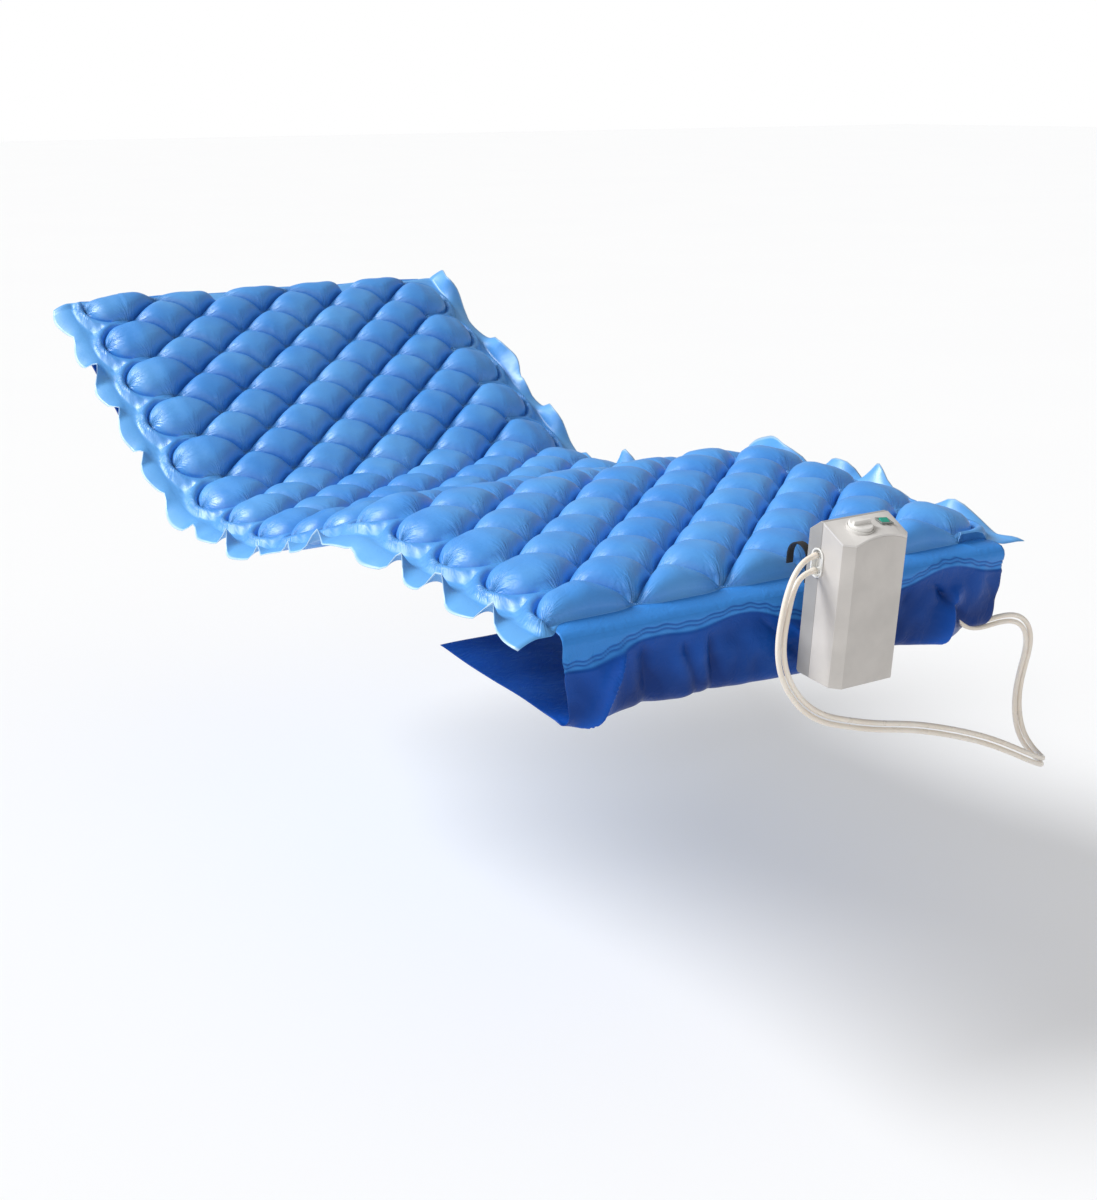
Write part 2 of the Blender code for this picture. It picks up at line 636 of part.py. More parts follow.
def build_case_trim(pump, looks):
    pad = [(0.0070, 0.0), (0.0070, 0.0025), (0.0055, 0.0045)]
    for name, x in (("bumper_left", -0.045), ("bumper_right", 0.045)):
        place = {"location": (x, CASE_BACK + TOUCH_GAP, -0.150), "rotation": (-math.pi / 2, 0, 0)}
        turned(name, pad, pump, looks["rubber"], **place)
    gland = [(0.0075, 0.0), (0.0075, 0.004), (0.0052, 0.0055), (0.0045, 0.014)]
    gland += [(0.0030, 0.014), (0.0030, 0.0)]
    place = {"location": (0.038, -0.040, CASE_BOTTOM - TOUCH_GAP), "rotation": (math.pi, 0, 0)}
    turned("cord_gland", gland, pump, looks["rubber"], closed=True, **place)
    low = (-0.0165, CASE_BACK - 0.0024, -0.1395)
    high = (0.0165, CASE_BACK + 0.0010, -0.1125)
    cover = box("filter_cover", low, high, pump, looks["back"])
    for i in range(5):
        z = -0.1355 + 0.0045 * i
        cutter = box(
            f"vent_cutter_{i}", (-0.013, CASE_BACK - 0.01, z), (0.013, CASE_BACK + 0.01, z + 0.0018),
            pump, looks["back"],
        )
        combine(cover, cutter)


# --- compressor inside the case ----------------------------------------------------------


def build_frame(pump, looks):
    """A C-shaped chassis on two rubber runners."""
    deck, shelf, wall = FRAME_BOTTOM, SHELF_Z, 0.003
    back, front = -0.036, -0.099
    profile = [(front, deck), (back, deck), (back, shelf), (front + 0.018, shelf)]
    profile += [(front + 0.018, shelf - wall), (back - wall, shelf - wall)]
    profile += [(back - wall, deck + wall), (front, deck + wall)]
    extruded("compressor_frame", profile, -0.040, 0.040, pump, looks["dark"])
    for name, x in (("isolator_left", -0.032), ("isolator_right", 0.032)):
        low = (x - 0.006, -0.096, CASE_BOTTOM + CASE_WALL + TOUCH_GAP)
        high = (x + 0.006, -0.056, deck - TOUCH_GAP)
        box(name, low, high, pump, looks["rubber"])


def build_magnet(pump, looks):
    """A laminated E core, poles up, with the coil round its middle leg."""
    base = FRAME_BOTTOM + 0.003 + TOUCH_GAP
    height, yoke = 0.036, 0.010
    legs = ((-0.0235, -0.0155), (-0.0065, 0.0065), (0.0155, 0.0235))
    outline = [(-0.0235, base), (0.0235, base)]
    for low, high in reversed(legs):
        outline += [(high, base + height), (low, base + height)]
        if low > -0.0235:
            outline += [(low, base + yoke)]
            following = [leg for leg in legs if leg[1] < low][-1]
            outline += [(following[1], base + yoke)]
    front, back = INSIDE_Y - 0.014, INSIDE_Y + 0.014
    rings = [[(x, y, z) for x, z in outline] for y in (front, back)]
    loft("magnet_core", rings, pump, looks["steel"])
    low, high = base + yoke + TOUCH_GAP, base + height - 0.002

    def ring(half_x, half_y, z):
        corners = ((-1, -1), (1, -1), (1, 1), (-1, 1))
        return [(half_x * i, INSIDE_Y + half_y * j, z) for i, j in corners]

    coil = [ring(0.0068, 0.0143, low), ring(0.0150, 0.0225, low)]
    coil += [ring(0.0150, 0.0225, high), ring(0.0068, 0.0143, high)]
    loft("coil", coil, pump, looks["copper"], closed=True)


def build_arms(pump, looks):
    """Two sprung arms, each with its magnet, rubber diaphragm and valve box."""
    for name, hand in (("left", -1), ("right", 1)):
        axis = empty(f"arm_axis_{name}", (hand * ARM_X, INSIDE_Y, ARM_PIVOT_Z), parent=pump)
        half = 0.0012
        tip, magnet_top = -0.066, -0.050
        outline = [(half, 0.003), (-half, 0.003), (-half, magnet_top), (-0.0050, magnet_top)]
        outline += [(-0.0050, tip), (half, tip)]
        rings = [[(hand * x, y, z) for x, z in outline] for y in (-0.007, 0.007)]
        loft(f"arm_{name}", rings, axis, looks["steel"])
        turn = {"rotation": (0, hand * math.pi / 2, 0)}
        middle = ARM_PIVOT_Z - 0.028
        at = (hand * (ARM_X + 0.0022), INSIDE_Y, middle)
        cone = [(0.0060, 0.0), (0.0115, 0.0035), (0.0135, 0.0105)]
        turned(f"diaphragm_{name}", cone, pump, looks["rubber"], location=at, **turn)
        inner = hand * (ARM_X + 0.0022 + 0.0105 + TOUCH_GAP)
        outer = hand * 0.0592
        low = (min(inner, outer), INSIDE_Y - 0.016, middle - 0.016)
        high = (max(inner, outer), INSIDE_Y + 0.016, middle + 0.016)
        box(f"valve_box_{name}", low, high, pump, looks["case"])


def build_distributor(pump, looks):
    """The slow timing motor and the rotary valve that shares the air between two outlets."""
    at = {"location": (0, INSIDE_Y, MOTOR_BOTTOM)}
    motor = [(0.0215, -0.0040), (0.0215, 0.012), (0.0020, 0.012)]
    turned("timing_motor", motor, pump, looks["steel"], **at)
    cup = [(0.0040, 0.0123), (0.0180, 0.0123), (0.0180, 0.0285), (0.0155, 0.0285)]
    cup += [(0.0155, 0.0150), (0.0040, 0.0150)]
    turned("distributor_body", cup, pump, looks["white"], closed=True, **at)
    axis = empty("rotor_axis", at["location"], parent=pump)
    rotor = [(0.0030, 0.0124), (0.0030, 0.0160), (0.0148, 0.0160), (0.0148, 0.0240), (0.0030, 0.0240)]
    disc = turned("distributor_rotor", rotor, axis, looks["dark"])
    low, high = (-0.0025, 0.004, 0.020), (0.0025, 0.020, 0.030)
    combine(disc, box("rotor_groove", low, high, axis, looks["dark"]))
    cap = [(0.0180, 0.0288), (0.0180, 0.0318), (0.0060, 0.0318), (0.0045, 0.0360)]
    turned("distributor_cap", cap, pump, looks["white"], **at)


TUBE_RADIUS = 0.0026
TUBE_ROUTES = {
    "air_tube_left": (
        (-0.0520, -0.0675, -0.0786), (-0.0525, -0.0675, -0.0600), (-0.0480, -0.0690, -0.0400),
        (-0.0350, -0.0800, -0.0260), (-0.0183, -0.0900, -0.0230), (-0.0060, -0.0960, -0.0225),
    ),
    "air_tube_right": (
        (0.0520, -0.0675, -0.0786), (0.0525, -0.0675, -0.0600), (0.0480, -0.0690, -0.0400),
        (0.0350, -0.0800, -0.0260), (0.0200, -0.0900, -0.0230), (0.0070, -0.0960, -0.0225),
    ),
    "air_tube_a": (
        (-0.0468, -0.0480, 0.0181), (-0.0380, -0.0480, 0.0181), (-0.0300, -0.0520, 0.0150),
        (-0.0240, -0.0580, 0.0040), (-0.0235, -0.0640, -0.0130), (-0.0230, -0.0660, -0.0280),
    ),
    "air_tube_b": (
        (-0.0468, -0.0480, -0.0049), (-0.0400, -0.0480, -0.0049), (-0.0330, -0.0480, -0.0080),
        (-0.0270, -0.0480, -0.0180), (-0.0235, -0.0480, -0.0280), (-0.0210, -0.0470, -0.0330),
    ),
}


def build_tubes(pump, looks):
    for name, route in TUBE_ROUTES.items():
        tube(name, smooth_path(route, 0.008), TUBE_RADIUS, pump, looks["clear"])


def build_pump(looks):
    pump = empty("pump_hang", (PUMP_X, RAIL_Y, RAIL_Z), PUMP_TILT)
    slot = build_front_shell(pump, looks)
    build_back_shell(pump, slot, looks)
    build_control_panel(pump, looks)
    build_dial(pump, looks)
    build_switch(pump, looks)
    build_outlets(pump, looks)
    build_hooks(pump, looks)
    build_case_trim(pump, looks)
    build_frame(pump, looks)
    build_magnet(pump, looks)
    build_arms(pump, looks)
    build_distributor(pump, looks)
    build_tubes(pump, looks)


def main():
    clear_scene()
    looks = {
        "cells": material("cell_film", (0.13, 0.40, 0.80), 0.35),
        "sheet": material("welded_film", (0.22, 0.50, 0.85), 0.35),
        "flap": material("flap_film", (0.06, 0.25, 0.62), 0.40),
        "case": material("case_plastic", (0.66, 0.66, 0.68), 0.38),
        "back": material("back_plastic", (0.42, 0.41, 0.41), 0.45),
        "white": material("white_plastic", (0.90, 0.90, 0.88), 0.35),
        "hose": material("hose_vinyl", (0.88, 0.84, 0.78), 0.35),
        "clear": material("tube_silicone", (0.80, 0.80, 0.76), 0.30),
        "dark": material("black_nylon", (0.05, 0.05, 0.05), 0.50),
        "green": material("switch_green", (0.05, 0.50, 0.38), 0.25),
        "rubber": material("black_rubber", (0.03, 0.03, 0.03), 0.80),
        "steel": material("zinc_steel", (0.55, 0.56, 0.58), 0.35, 1.0),
        "copper": material("coil_copper", (0.60, 0.28, 0.12), 0.40, 1.0),
        "brass": material("valve_brass", (0.70, 0.55, 0.25), 0.35, 1.0),
    }
    build_pad(looks)
    build_hoses(looks)
    build_pump(looks)


main()
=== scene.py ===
"""The looks of the alternating-pressure overlay: its welded film, its hoses and its pump.

The film, the flaps and the hoses are made here. The pump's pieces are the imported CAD, with
eased edges and moulded finishes. Lengths are in metres.
"""

import json
import math

import bpy
import numpy as np
from mathutils import Matrix, Vector, noise


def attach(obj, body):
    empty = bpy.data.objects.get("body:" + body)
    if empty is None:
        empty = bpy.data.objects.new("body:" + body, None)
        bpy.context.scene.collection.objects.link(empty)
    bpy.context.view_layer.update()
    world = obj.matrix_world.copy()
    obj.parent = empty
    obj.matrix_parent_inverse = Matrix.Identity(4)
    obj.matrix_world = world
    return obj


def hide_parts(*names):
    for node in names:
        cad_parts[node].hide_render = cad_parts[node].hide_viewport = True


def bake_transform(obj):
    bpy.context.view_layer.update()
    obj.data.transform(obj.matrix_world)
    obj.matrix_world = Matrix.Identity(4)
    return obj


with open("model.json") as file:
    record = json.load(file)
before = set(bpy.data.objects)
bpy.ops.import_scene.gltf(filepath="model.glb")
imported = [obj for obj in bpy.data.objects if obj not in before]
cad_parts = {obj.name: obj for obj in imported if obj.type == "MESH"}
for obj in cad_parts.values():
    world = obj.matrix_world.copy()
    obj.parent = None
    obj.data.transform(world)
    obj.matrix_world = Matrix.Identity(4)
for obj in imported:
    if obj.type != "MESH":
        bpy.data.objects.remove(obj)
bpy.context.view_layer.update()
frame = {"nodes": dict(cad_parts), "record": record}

# --- the pad's flat layout: x across, s along from its head edge, h up --------------------------

ROWS = 27
PITCH = 0.069  # from the middle of a row to the next
FIRST = 0.095  # the middle of row 0
PAD_LENGTH = 1.9745
TOP = 0.065  # height of the cells
WELD_H = 0.018  # height of the welds between them
SIDE_H = 0.010  # height of the border
FILM = 0.0012
STATION = 0.08  # along a row, from its widest place to its narrowest
FIELD_HALF = 0.44
WIDE = 0.061  # half the length of a cell, along s
SWING = WIDE - PITCH / 2
SHARP = 0.955  # how pointed the welds' zigzag is: 1 would make its sides straight

END_X = 0.36  # where the end cells begin
END_REACH = 0.078  # how far out they go
END_POWER = 2.8  # how blunt their outline is
END_LEAST = 0.006

NECK = 0.20  # what is left of a row that runs into a side channel, as a share of its height
NECK_REACH = 0.035
RIDGE_OFF = 0.0128  # from an end cell to the middle of the channel round it
RIDGE_HALF = 0.0108
RIDGE_H = 0.0165
CHANNEL_OUT = 0.464
EDGE_X = 0.496
BORDER = 0.022
FOOT_EDGE = PAD_LENGTH + 0.55 * BORDER

SPLITS = (-1, 12, 17, 28)  # the rows at which the film is cut into its three pieces
T_STEPS = 12
FIELD_STEP = 0.005
CHANNEL_STEP = 0.004

BACK_FOLD, THIGH_FOLD, KNEE_FOLD = 0.700, 1.0375, 1.4425
BACK_ANGLE, THIGH_ANGLE, CALF_ANGLE = math.radians(28.5), math.radians(-16.7), math.radians(3.6)
BEND = 0.070  # each fold is spread over this length on both sides


# --- general helpers ----------------------------------------------------------------------------


def link(obj):
    """Puts an object in the scene, and hands it back."""
    bpy.context.scene.collection.objects.link(obj)
    return obj


def mesh_object(name, points, faces, look, smooth=True):
    """A new object from points and faces, with one material."""
    mesh = bpy.data.meshes.new(name)
    mesh.from_pydata([tuple(p) for p in points], [], faces)
    mesh.materials.append(look)
    if smooth:
        mesh.shade_smooth()
    return link(bpy.data.objects.new(name, mesh))


def give_attribute(obj, name, values):
    """One number for each vertex, for the materials to read."""
    made = obj.data.attributes.new(name, "FLOAT", "POINT")
    made.data.foreach_set("value", np.asarray(values, np.float32))


def give_uv(obj, name, points):
    """A UV layer that holds each vertex's flat place in metres."""
    layer = obj.data.uv_layers.new(name=name)
    corner = np.zeros(len(obj.data.loops), np.int32)
    obj.data.loops.foreach_get("vertex_index", corner)
    layer.data.foreach_set("uv", np.asarray(points, np.float32)[corner].ravel())


def smoothstep(t):
    """0 up to t = 0, 1 from t = 1, and an even slope between."""
    t = np.clip(t, 0.0, 1.0)
    return t * t * (3 - 2 * t)


def noise_at(points, scale, seed):
    """Smooth noise in -1..1 at each point."""
    shift = Vector((seed * 17.3, seed * 5.9, seed * 11.1))
    return np.array([noise.noise(Vector(p) * scale + shift) for p in points])


def bell(x, middle, half, power=2):
    """1 at the middle, 1/e at half on both sides, and nothing far away."""
    return np.exp(-(np.abs((x - middle) / half) ** power))


def hashed(row, column, seed):
    """A repeatable number in -1..1 for one cell."""
    value = np.sin(row * 127.1 + column * 311.7 + seed * 74.7) * 43758.5453
    return 2 * (value - np.floor(value)) - 1


def length_along(points):
    """Distance along a path to each of its points."""
    steps = np.linalg.norm(np.diff(points, axis=0), axis=1)
    return np.concatenate([[0.0], np.cumsum(steps)])


def path_at(points, places):
    """The path's points at these distances along it."""
    length = length_along(points)
    return np.stack([np.interp(places, length, column) for column in points.T], 1)


def skin_faces(shape):
    """Faces of two grids of points, the outer one first, closed round the rim."""
    count = shape[0] * shape[1]
    index = np.arange(count).reshape(shape)
    a, b = index[:-1, :-1].ravel(), index[:-1, 1:].ravel()
    c, d = index[1:, 1:].ravel(), index[1:, :-1].ravel()
    rim = np.concatenate([index[0, :], index[1:, -1], index[-1, -2::-1], index[-2:0:-1, 0]])
    after = np.roll(rim, -1)
    outer = np.stack([a, d, c, b], 1)
    inner = np.stack([a, b, c, d], 1) + count
    closing = np.stack([rim, after, after + count, rim + count], 1)
    return np.concatenate([outer, inner, closing]).tolist()


# --- materials ----------------------------------------------------------------------------------


class Look:
    """A Principled material with short calls for the nodes that feed it."""

    def __init__(self, name, color, roughness, **inputs):
        self.material = bpy.data.materials.new(name)
        self.material.use_nodes = True
        self.nodes = self.material.node_tree.nodes
        self.links = self.material.node_tree.links
        self.shader = self.nodes["Principled BSDF"]
        self.set("Base Color", (*color, 1.0))
        self.set("Roughness", roughness)
        for key, value in inputs.items():
            self.set(key.replace("_", " "), value)

    def set(self, socket, value):
        self.shader.inputs[socket].default_value = value

    def node(self, kind, inputs=None, **settings):
        made = self.nodes.new("ShaderNode" + kind)
        for key, value in settings.items():
            setattr(made, key, value)
        for key, value in (inputs or {}).items():
            if isinstance(value, bpy.types.NodeSocket):
                self.links.new(value, made.inputs[key])
            else:
                made.inputs[key].default_value = value
        return made

    def math(self, operation, a, b=0.0):
        return self.node("Math", {0: a, 1: b}, operation=operation).outputs[0]

    def noise(self, scale, detail, vector=None, roughness=0.5, distortion=0.0):
        inputs = {
            "Scale": scale, "Detail": detail, "Roughness": roughness, "Distortion": distortion,
            "Vector": vector or self.place(),
        }
        return self.node("TexNoise", inputs).outputs["Fac"]

    def place(self):
        return self.node("TexCoord").outputs["Object"]

    def attribute(self, name):
        return self.node("Attribute", attribute_name=name).outputs["Fac"]

    def ramp(self, value, low, high, out_low=0.0, out_high=1.0):
        inputs = {
            "Value": value, "From Min": low, "From Max": high,
            "To Min": out_low, "To Max": out_high,
        }
        return self.node("MapRange", inputs).outputs[0]

    def cloud(self, scale, detail, out_low=0.0, out_high=1.0, half=0.15):
        """Noise spread over a range: half is how much of it, round its middle, is kept."""
        return self.ramp(self.noise(scale, detail), 0.5 - half, 0.5 + half, out_low, out_high)

    def satin(self, scale, detail, low, high):
        """Roughness that wanders between two values."""
        self.feed("Roughness", self.cloud(scale, detail, low, high, half=0.2))

    def mix(self, share, first, second):
        made = self.node("Mix", data_type="RGBA")
        for index, value in ((0, share), (6, first), (7, second)):
            if isinstance(value, bpy.types.NodeSocket):
                self.links.new(value, made.inputs[index])
            elif index:
                made.inputs[index].default_value = (*value, 1.0)
            else:
                made.inputs[index].default_value = value
        return made.outputs[2]

    def feed(self, socket, value):
        self.links.new(value, self.shader.inputs[socket])

    def bump(self, height, strength, distance, before=None):
        inputs = {"Height": height, "Strength": strength, "Distance": distance}
        if before:
            inputs["Normal"] = before
        return self.node("Bump", inputs).outputs["Normal"]


def film_look(name, deep, pale, thin, cut_edge_highlight):
    """Satin vinyl film: paler where it is one welded sheet, with a painted highlight along the cut
    edge.
    """
    look = Look(name, deep, 0.40, Specular_IOR_Level=0.85)
    body = look.mix(look.cloud(7.0, 3.0), deep, pale)
    single = look.attribute("single")
    sheet = look.mix(single, body, thin)
    # Where single reaches 2, at the cut edge, the colour is a painted highlight.
    look.feed("Base Color", look.mix(look.ramp(single, 1.0, 2.0), sheet, cut_edge_highlight))
    look.satin(22.0, 4.0, 0.36, 0.52)
    fine = look.bump(look.noise(900.0, 2.0), 0.05, 0.0006)
    crinkled = look.bump(look.noise(60.0, 5.0, distortion=1.2), 0.14, 0.003, fine)
    look.feed("Normal", pleats(look, crinkled))
    return look.material


PLEAT_TURN = 4.0  # how closely the pleats follow each other round a pinch
PLEAT_FALL = -55.0  # how fast they fade, for each metre
GRID_TURNS = 10  # whole cells added, so that a place is never below nought


def pleats(look, before):
    """Small folds that fan out from each pinch of the pad's weld grid."""

    def from_pinch(place, start, half):
        """Distance from the nearest of the grid lines, which are two halves apart."""
        place = look.math("ADD", place, GRID_TURNS * 2 * half + start)
        return look.math("SUBTRACT", look.math("MODULO", place, 2 * half), half)

    split = look.node("SeparateXYZ", {0: look.node("UVMap", uv_map="flat").outputs[0]})
    heights = []
    for shift_x, shift_s in ((0.0, 0.0), (STATION, PITCH)):
        across = from_pinch(split.outputs[0], END_X + STATION + shift_x, STATION)
        along = from_pinch(split.outputs[1], PITCH - FIRST + shift_s, PITCH)
        angle = look.math("ARCTAN2", along, across)
        square = look.math("ADD", look.math("POWER", across, 2.0), look.math("POWER", along, 2.0))
        away = look.math("SQRT", square)
        cell = look.math("FLOOR", look.math("DIVIDE", split.outputs[1], 2 * PITCH))
        turn = look.math("MULTIPLY", angle, PLEAT_TURN)
        vector = look.node("CombineXYZ", {0: turn, 1: look.math("MULTIPLY", away, 30.0), 2: cell})
        streak = look.noise(1.6, 2.0, vector.outputs[0], 0.55)
        fall = look.math("POWER", math.e, look.math("MULTIPLY", away, PLEAT_FALL))
        heights.append(look.math("MULTIPLY", look.math("SUBTRACT", streak, 0.5), fall))
    share = look.ramp(look.attribute("single"), 0.0, 1.0, 1.0, 0.15)
    total = look.math("MULTIPLY", look.math("ADD", *heights), share)
    return look.bump(total, 0.75, 0.013, before)


MOTTLE = 0.04  # how uneven a plastic's colour is


def plastic_look(name, color, roughness, grain=1400.0):
    """Moulded plastic: a fine spark texture, a little unevenness and handling shine."""
    look = Look(name, color, roughness)
    darker = tuple(c * (1 - 2 * MOTTLE) for c in color)
    lighter = tuple(c * (1 + MOTTLE) for c in color)
    look.feed("Base Color", look.mix(look.cloud(18.0, 4.0), darker, lighter))
    look.satin(30.0, 3.0, roughness - 0.05, roughness + 0.08)
    look.feed("Normal", look.bump(look.noise(grain, 2.0), 0.12, 0.0004))
    return look.material


def metal_look(name, color, roughness, stretch=(1.0, 1.0, 40.0)):
    """Plated or brushed metal, with fine streaks along one axis."""
    look = Look(name, color, roughness, Metallic=1.0)
    mapped = look.node("Mapping", {"Vector": look.place(), "Scale": stretch}).outputs[0]
    streak = look.noise(60.0, 4.0, mapped)
    look.feed("Roughness", look.ramp(streak, 0.3, 0.7, roughness - 0.08, roughness + 0.12))
    look.feed("Normal", look.bump(streak, 0.08, 0.0003))
    return look.material


# --- the pad's folded shape ---------------------------------------------------------------------


def heading(angle):
    """Unit vector, in (y, z), towards the foot along a section tilted by this angle."""
    return np.array([-math.cos(angle), -math.sin(angle)])


def rise(angle):
    """Unit vector, in (y, z), straight up from that section."""
    return np.array([-math.sin(angle), math.cos(angle)])


class FoldedLine:
    """Where a flat place (s, h) lies on the pad's four sections, with rounded folds."""

    STEPS = 141  # points along each fold
    FAR = 9.0

    def __init__(self):
        half_seat = (THIGH_FOLD - BACK_FOLD) / 2
        self.folds = []
        thigh_at = np.array([-half_seat, TOP])
        knee_at = thigh_at + (KNEE_FOLD - THIGH_FOLD) * heading(THIGH_ANGLE)
        knee_at = knee_at - TOP * rise(THIGH_ANGLE)
        plan = (
            (BACK_FOLD, np.array([half_seat, TOP]), TOP, BACK_ANGLE, 0.0),
            (THIGH_FOLD, thigh_at, TOP, 0.0, THIGH_ANGLE),
            (KNEE_FOLD, knee_at, 0.0, THIGH_ANGLE, CALF_ANGLE),
        )
        for fold, axis, height, before, after in plan:
            steps = np.linspace(-BEND, BEND, self.STEPS)
            angles = before + (after - before) * smoothstep((steps + BEND) / (2 * BEND))
            moves = np.stack([-np.cos(angles), -np.sin(angles)], 1)
            middles = (moves[1:] + moves[:-1]) / 2 * (steps[1] - steps[0])
            path = np.concatenate([[[0.0, 0.0]], np.cumsum(middles, 0)])
            wanted = BEND * (heading(before) + heading(after))
            path *= np.linalg.norm(wanted) / np.linalg.norm(path[-1])
            start = axis - BEND * heading(before)
            self.folds.append((fold, height, steps, angles, start + path))

    def at(self, s, h):
        """(y, z) arrays for arrays of flat places, each reckoned from the fold nearest to it."""
        y, z = np.zeros_like(s), np.zeros_like(s)
        between = [(a[0] + b[0]) / 2 for a, b in zip(self.folds, self.folds[1:])]
        limits = [-self.FAR, *between, self.FAR]
        for (fold, height, steps, angles, path), low, high in zip(self.folds, limits, limits[1:]):
            here = (s >= low) & (s < high)
            off = s[here] - fold
            lift = h[here] - height
            tilt = np.interp(off, steps, angles)
            base_y = np.interp(off, steps, path[:, 0])
            base_z = np.interp(off, steps, path[:, 1])
            past = np.where(off < -BEND, off + BEND, np.where(off > BEND, off - BEND, 0.0))
            y[here] = base_y - np.cos(tilt) * past - np.sin(tilt) * lift
            z[here] = base_z - np.sin(tilt) * past + np.cos(tilt) * lift
        return y, z

    def point(self, x, s, h):
        """(x, y, z) of one flat place."""
        y, z = self.at(np.array([float(s)]), np.array([float(h)]))
        return (x, float(y[0]), float(z[0]))


LINE = FoldedLine()


# --- the pad's welded film ----------------------------------------------------------------------

HEAD_DIPS = (-0.135, 0.195)  # where the first and last welds dip in between two wide lumps
FOOT_DIPS = (-0.28, -0.12, 0.04, 0.20)
DIP_HALF = 0.022
EDGE_WELD = 0.010


def end_share(x):
    """How far out in its end cell a place is: 0 where the cell begins, 1 at its tip."""
    return np.maximum((np.abs(x) - END_X) / END_REACH, 0.0)


def side_slope(x):
    """0 over the field and 1 at the border: the welds sink to the border's level between."""
    return smoothstep((np.abs(x) - 0.40) / 0.06)


def row_wave(x):
    """+1 where even rows are wide, -1 where odd ones are; blunter round the end cells."""
    wave = np.cos(math.pi * (x + FIELD_HALF) / STATION)
    inner = np.arcsin(SHARP * wave) / math.asin(SHARP)
    reach = np.minimum(end_share(x), 1.0)
    end_half = np.maximum(WIDE * np.sqrt(1 - reach**END_POWER), END_LEAST)
    outer = np.sign(x) * (end_half - PITCH / 2) / SWING
    return np.where(np.abs(x) > END_X, outer, inner)


def weld_line(row, x):
    """s of the weld between this row and the next, at each x."""
    if row < -1:
        dips = sum(bell(x, at, DIP_HALF) for at in HEAD_DIPS)
        left = smoothstep((-x - 0.28) / 0.06)
        right = smoothstep((x - 0.40) / 0.07)
        return EDGE_WELD + 0.016 * dips - 0.014 * left + 0.012 * right
    if row >= ROWS:
        dips = sum(bell(x, at, DIP_HALF) for at in FOOT_DIPS)
        return PAD_LENGTH - EDGE_WELD - 0.010 * dips
    side = 1 if row % 2 == 0 else -1
    return FIRST + PITCH * (row + 0.5) + SWING * side * row_wave(x)


def cell_rise(half):
    """How high a row stands where its welds are this far apart, as a share of the crown."""
    full = 1 - (1 - np.clip(half / WIDE, 0.0, 1.0)) ** 2.6
    least = 0.12
    return np.clip((full - least) / (1 - least), 0.0, 1.0)


def end_parity(x):
    """Which rows close in an end cell on this side: odd ones on the left, even on the right."""
    return np.where(x < 0, 1, 0)


def channel_ridge(x, s):
    """Height of the channel that runs round the end cells, over the welds."""
    reach = end_share(x)
    parity = end_parity(x)
    ridge = np.zeros_like(x)
    base = np.floor((s - FIRST) / PITCH)
    for step in range(-2, 4):
        row = base + step
        usable = (np.mod(row, 2) == parity) & (row >= -1) & (row <= ROWS)
        centre = FIRST + PITCH * row
        value = reach**END_POWER + ((s - centre) / WIDE) ** 2
        away = (value ** (1 / 2.2) - 1) * 0.066  # roughly, in metres outside the end cell
        away = np.where(usable, away, 1.0)
        arch = np.sqrt(np.clip(1 - ((away - RIDGE_OFF) / RIDGE_HALF) ** 2, 0, None))
        ridge = np.maximum(ridge, RIDGE_H * arch)
    return ridge


def row_surface(row, x, t):
    """(s, top height, bottom height, single-film share) over a row; t runs -1..1 across it."""
    low, high = weld_line(row - 1, x), weld_line(row, x)
    half = (high - low) / 2
    s = (low + high) / 2 + t * half
    weld = WELD_H + (SIDE_H - WELD_H) * side_slope(x)
    rim = (1 - np.abs(t) ** 2.6) ** 0.44
    column = np.round((x + FIELD_HALF - (0 if row % 2 == 0 else STATION)) / (2 * STATION))
    crown = (TOP - weld) * (1 + 0.045 * hashed(row, column, 1.0))
    height = crown * cell_rise(half)
    start_rise = 1.0
    if row in (-1, ROWS):
        start_x = np.sign(x) * END_X
        start_half = (weld_line(row, start_x) - weld_line(row - 1, start_x)) / 2
        start_rise = 0.95 * cell_rise(start_half)
        height = crown * 0.97 * cell_rise(half / (0.72 if row == -1 else 1.0))
    pleat = noise_at(np.stack([x * 62.0, np.full_like(x, row * 3.1), t * 0.8], 1), 1.0, 6)
    side_of_cell = smoothstep((np.abs(t) - 0.35) / 0.5) * (0.6 + 0.4 * np.sign(t))
    middle_top = height * rim * (1 - 0.085 * np.abs(pleat) * side_of_cell)
    reach = np.minimum(end_share(x), 1.0)
    droop = (1 - 0.12 * smoothstep(reach / 0.45)) * (1 - reach**2.6) ** 0.56
    end_top = crown * start_rise * droop * rim
    neck = (TOP - weld) * NECK * rim * (1 - smoothstep((np.abs(x) - END_X) / NECK_REACH))
    channel = np.maximum(neck, channel_ridge(x, s))
    side = np.abs(x) > END_X
    ends = (end_parity(x) == row % 2) & (reach < 1)
    top = np.where(side, np.where(ends, end_top, channel), middle_top)
    hollow = ~side | ends | (channel > 0.001)
    belly = np.clip(top / 0.03, 0, 1) ** 0.8
    under = weld * (1 - belly) + FILM * belly - FILM / 2
    return s, weld + top + FILM / 2, under, np.where(hollow, 0.0, 1.0)


def field_columns():
    """The places across the pad, from one border to the other, finer over the side channels."""
    field = np.arange(-END_X, END_X + 1e-6, FIELD_STEP)
    channel = np.arange(END_X + CHANNEL_STEP, CHANNEL_OUT + 1e-6, CHANNEL_STEP)
    return np.concatenate([-channel[::-1], field, channel])


BORDER_STEPS = 9
DROOP = 0.017
ARCH_UP = 0.027
ARCH_WIDE = 0.30  # half an arch's length, in rows

# Stretches of the right-hand border that stand up: middle, half length, height, how square.
RISES = (
    (0.020, 0.060, 0.038, 3.5), (0.335, 0.085, 0.042, 3.5), (0.575, 0.050, 0.040, 3.0),
    (0.865, 0.038, 0.054, 1.7), (1.345, 0.075, 0.068, 3.5), (1.540, 0.050, 0.034, 3.0),
    (1.635, 0.040, 0.050, 1.7), (1.830, 0.060, 0.026, 2.5),
)


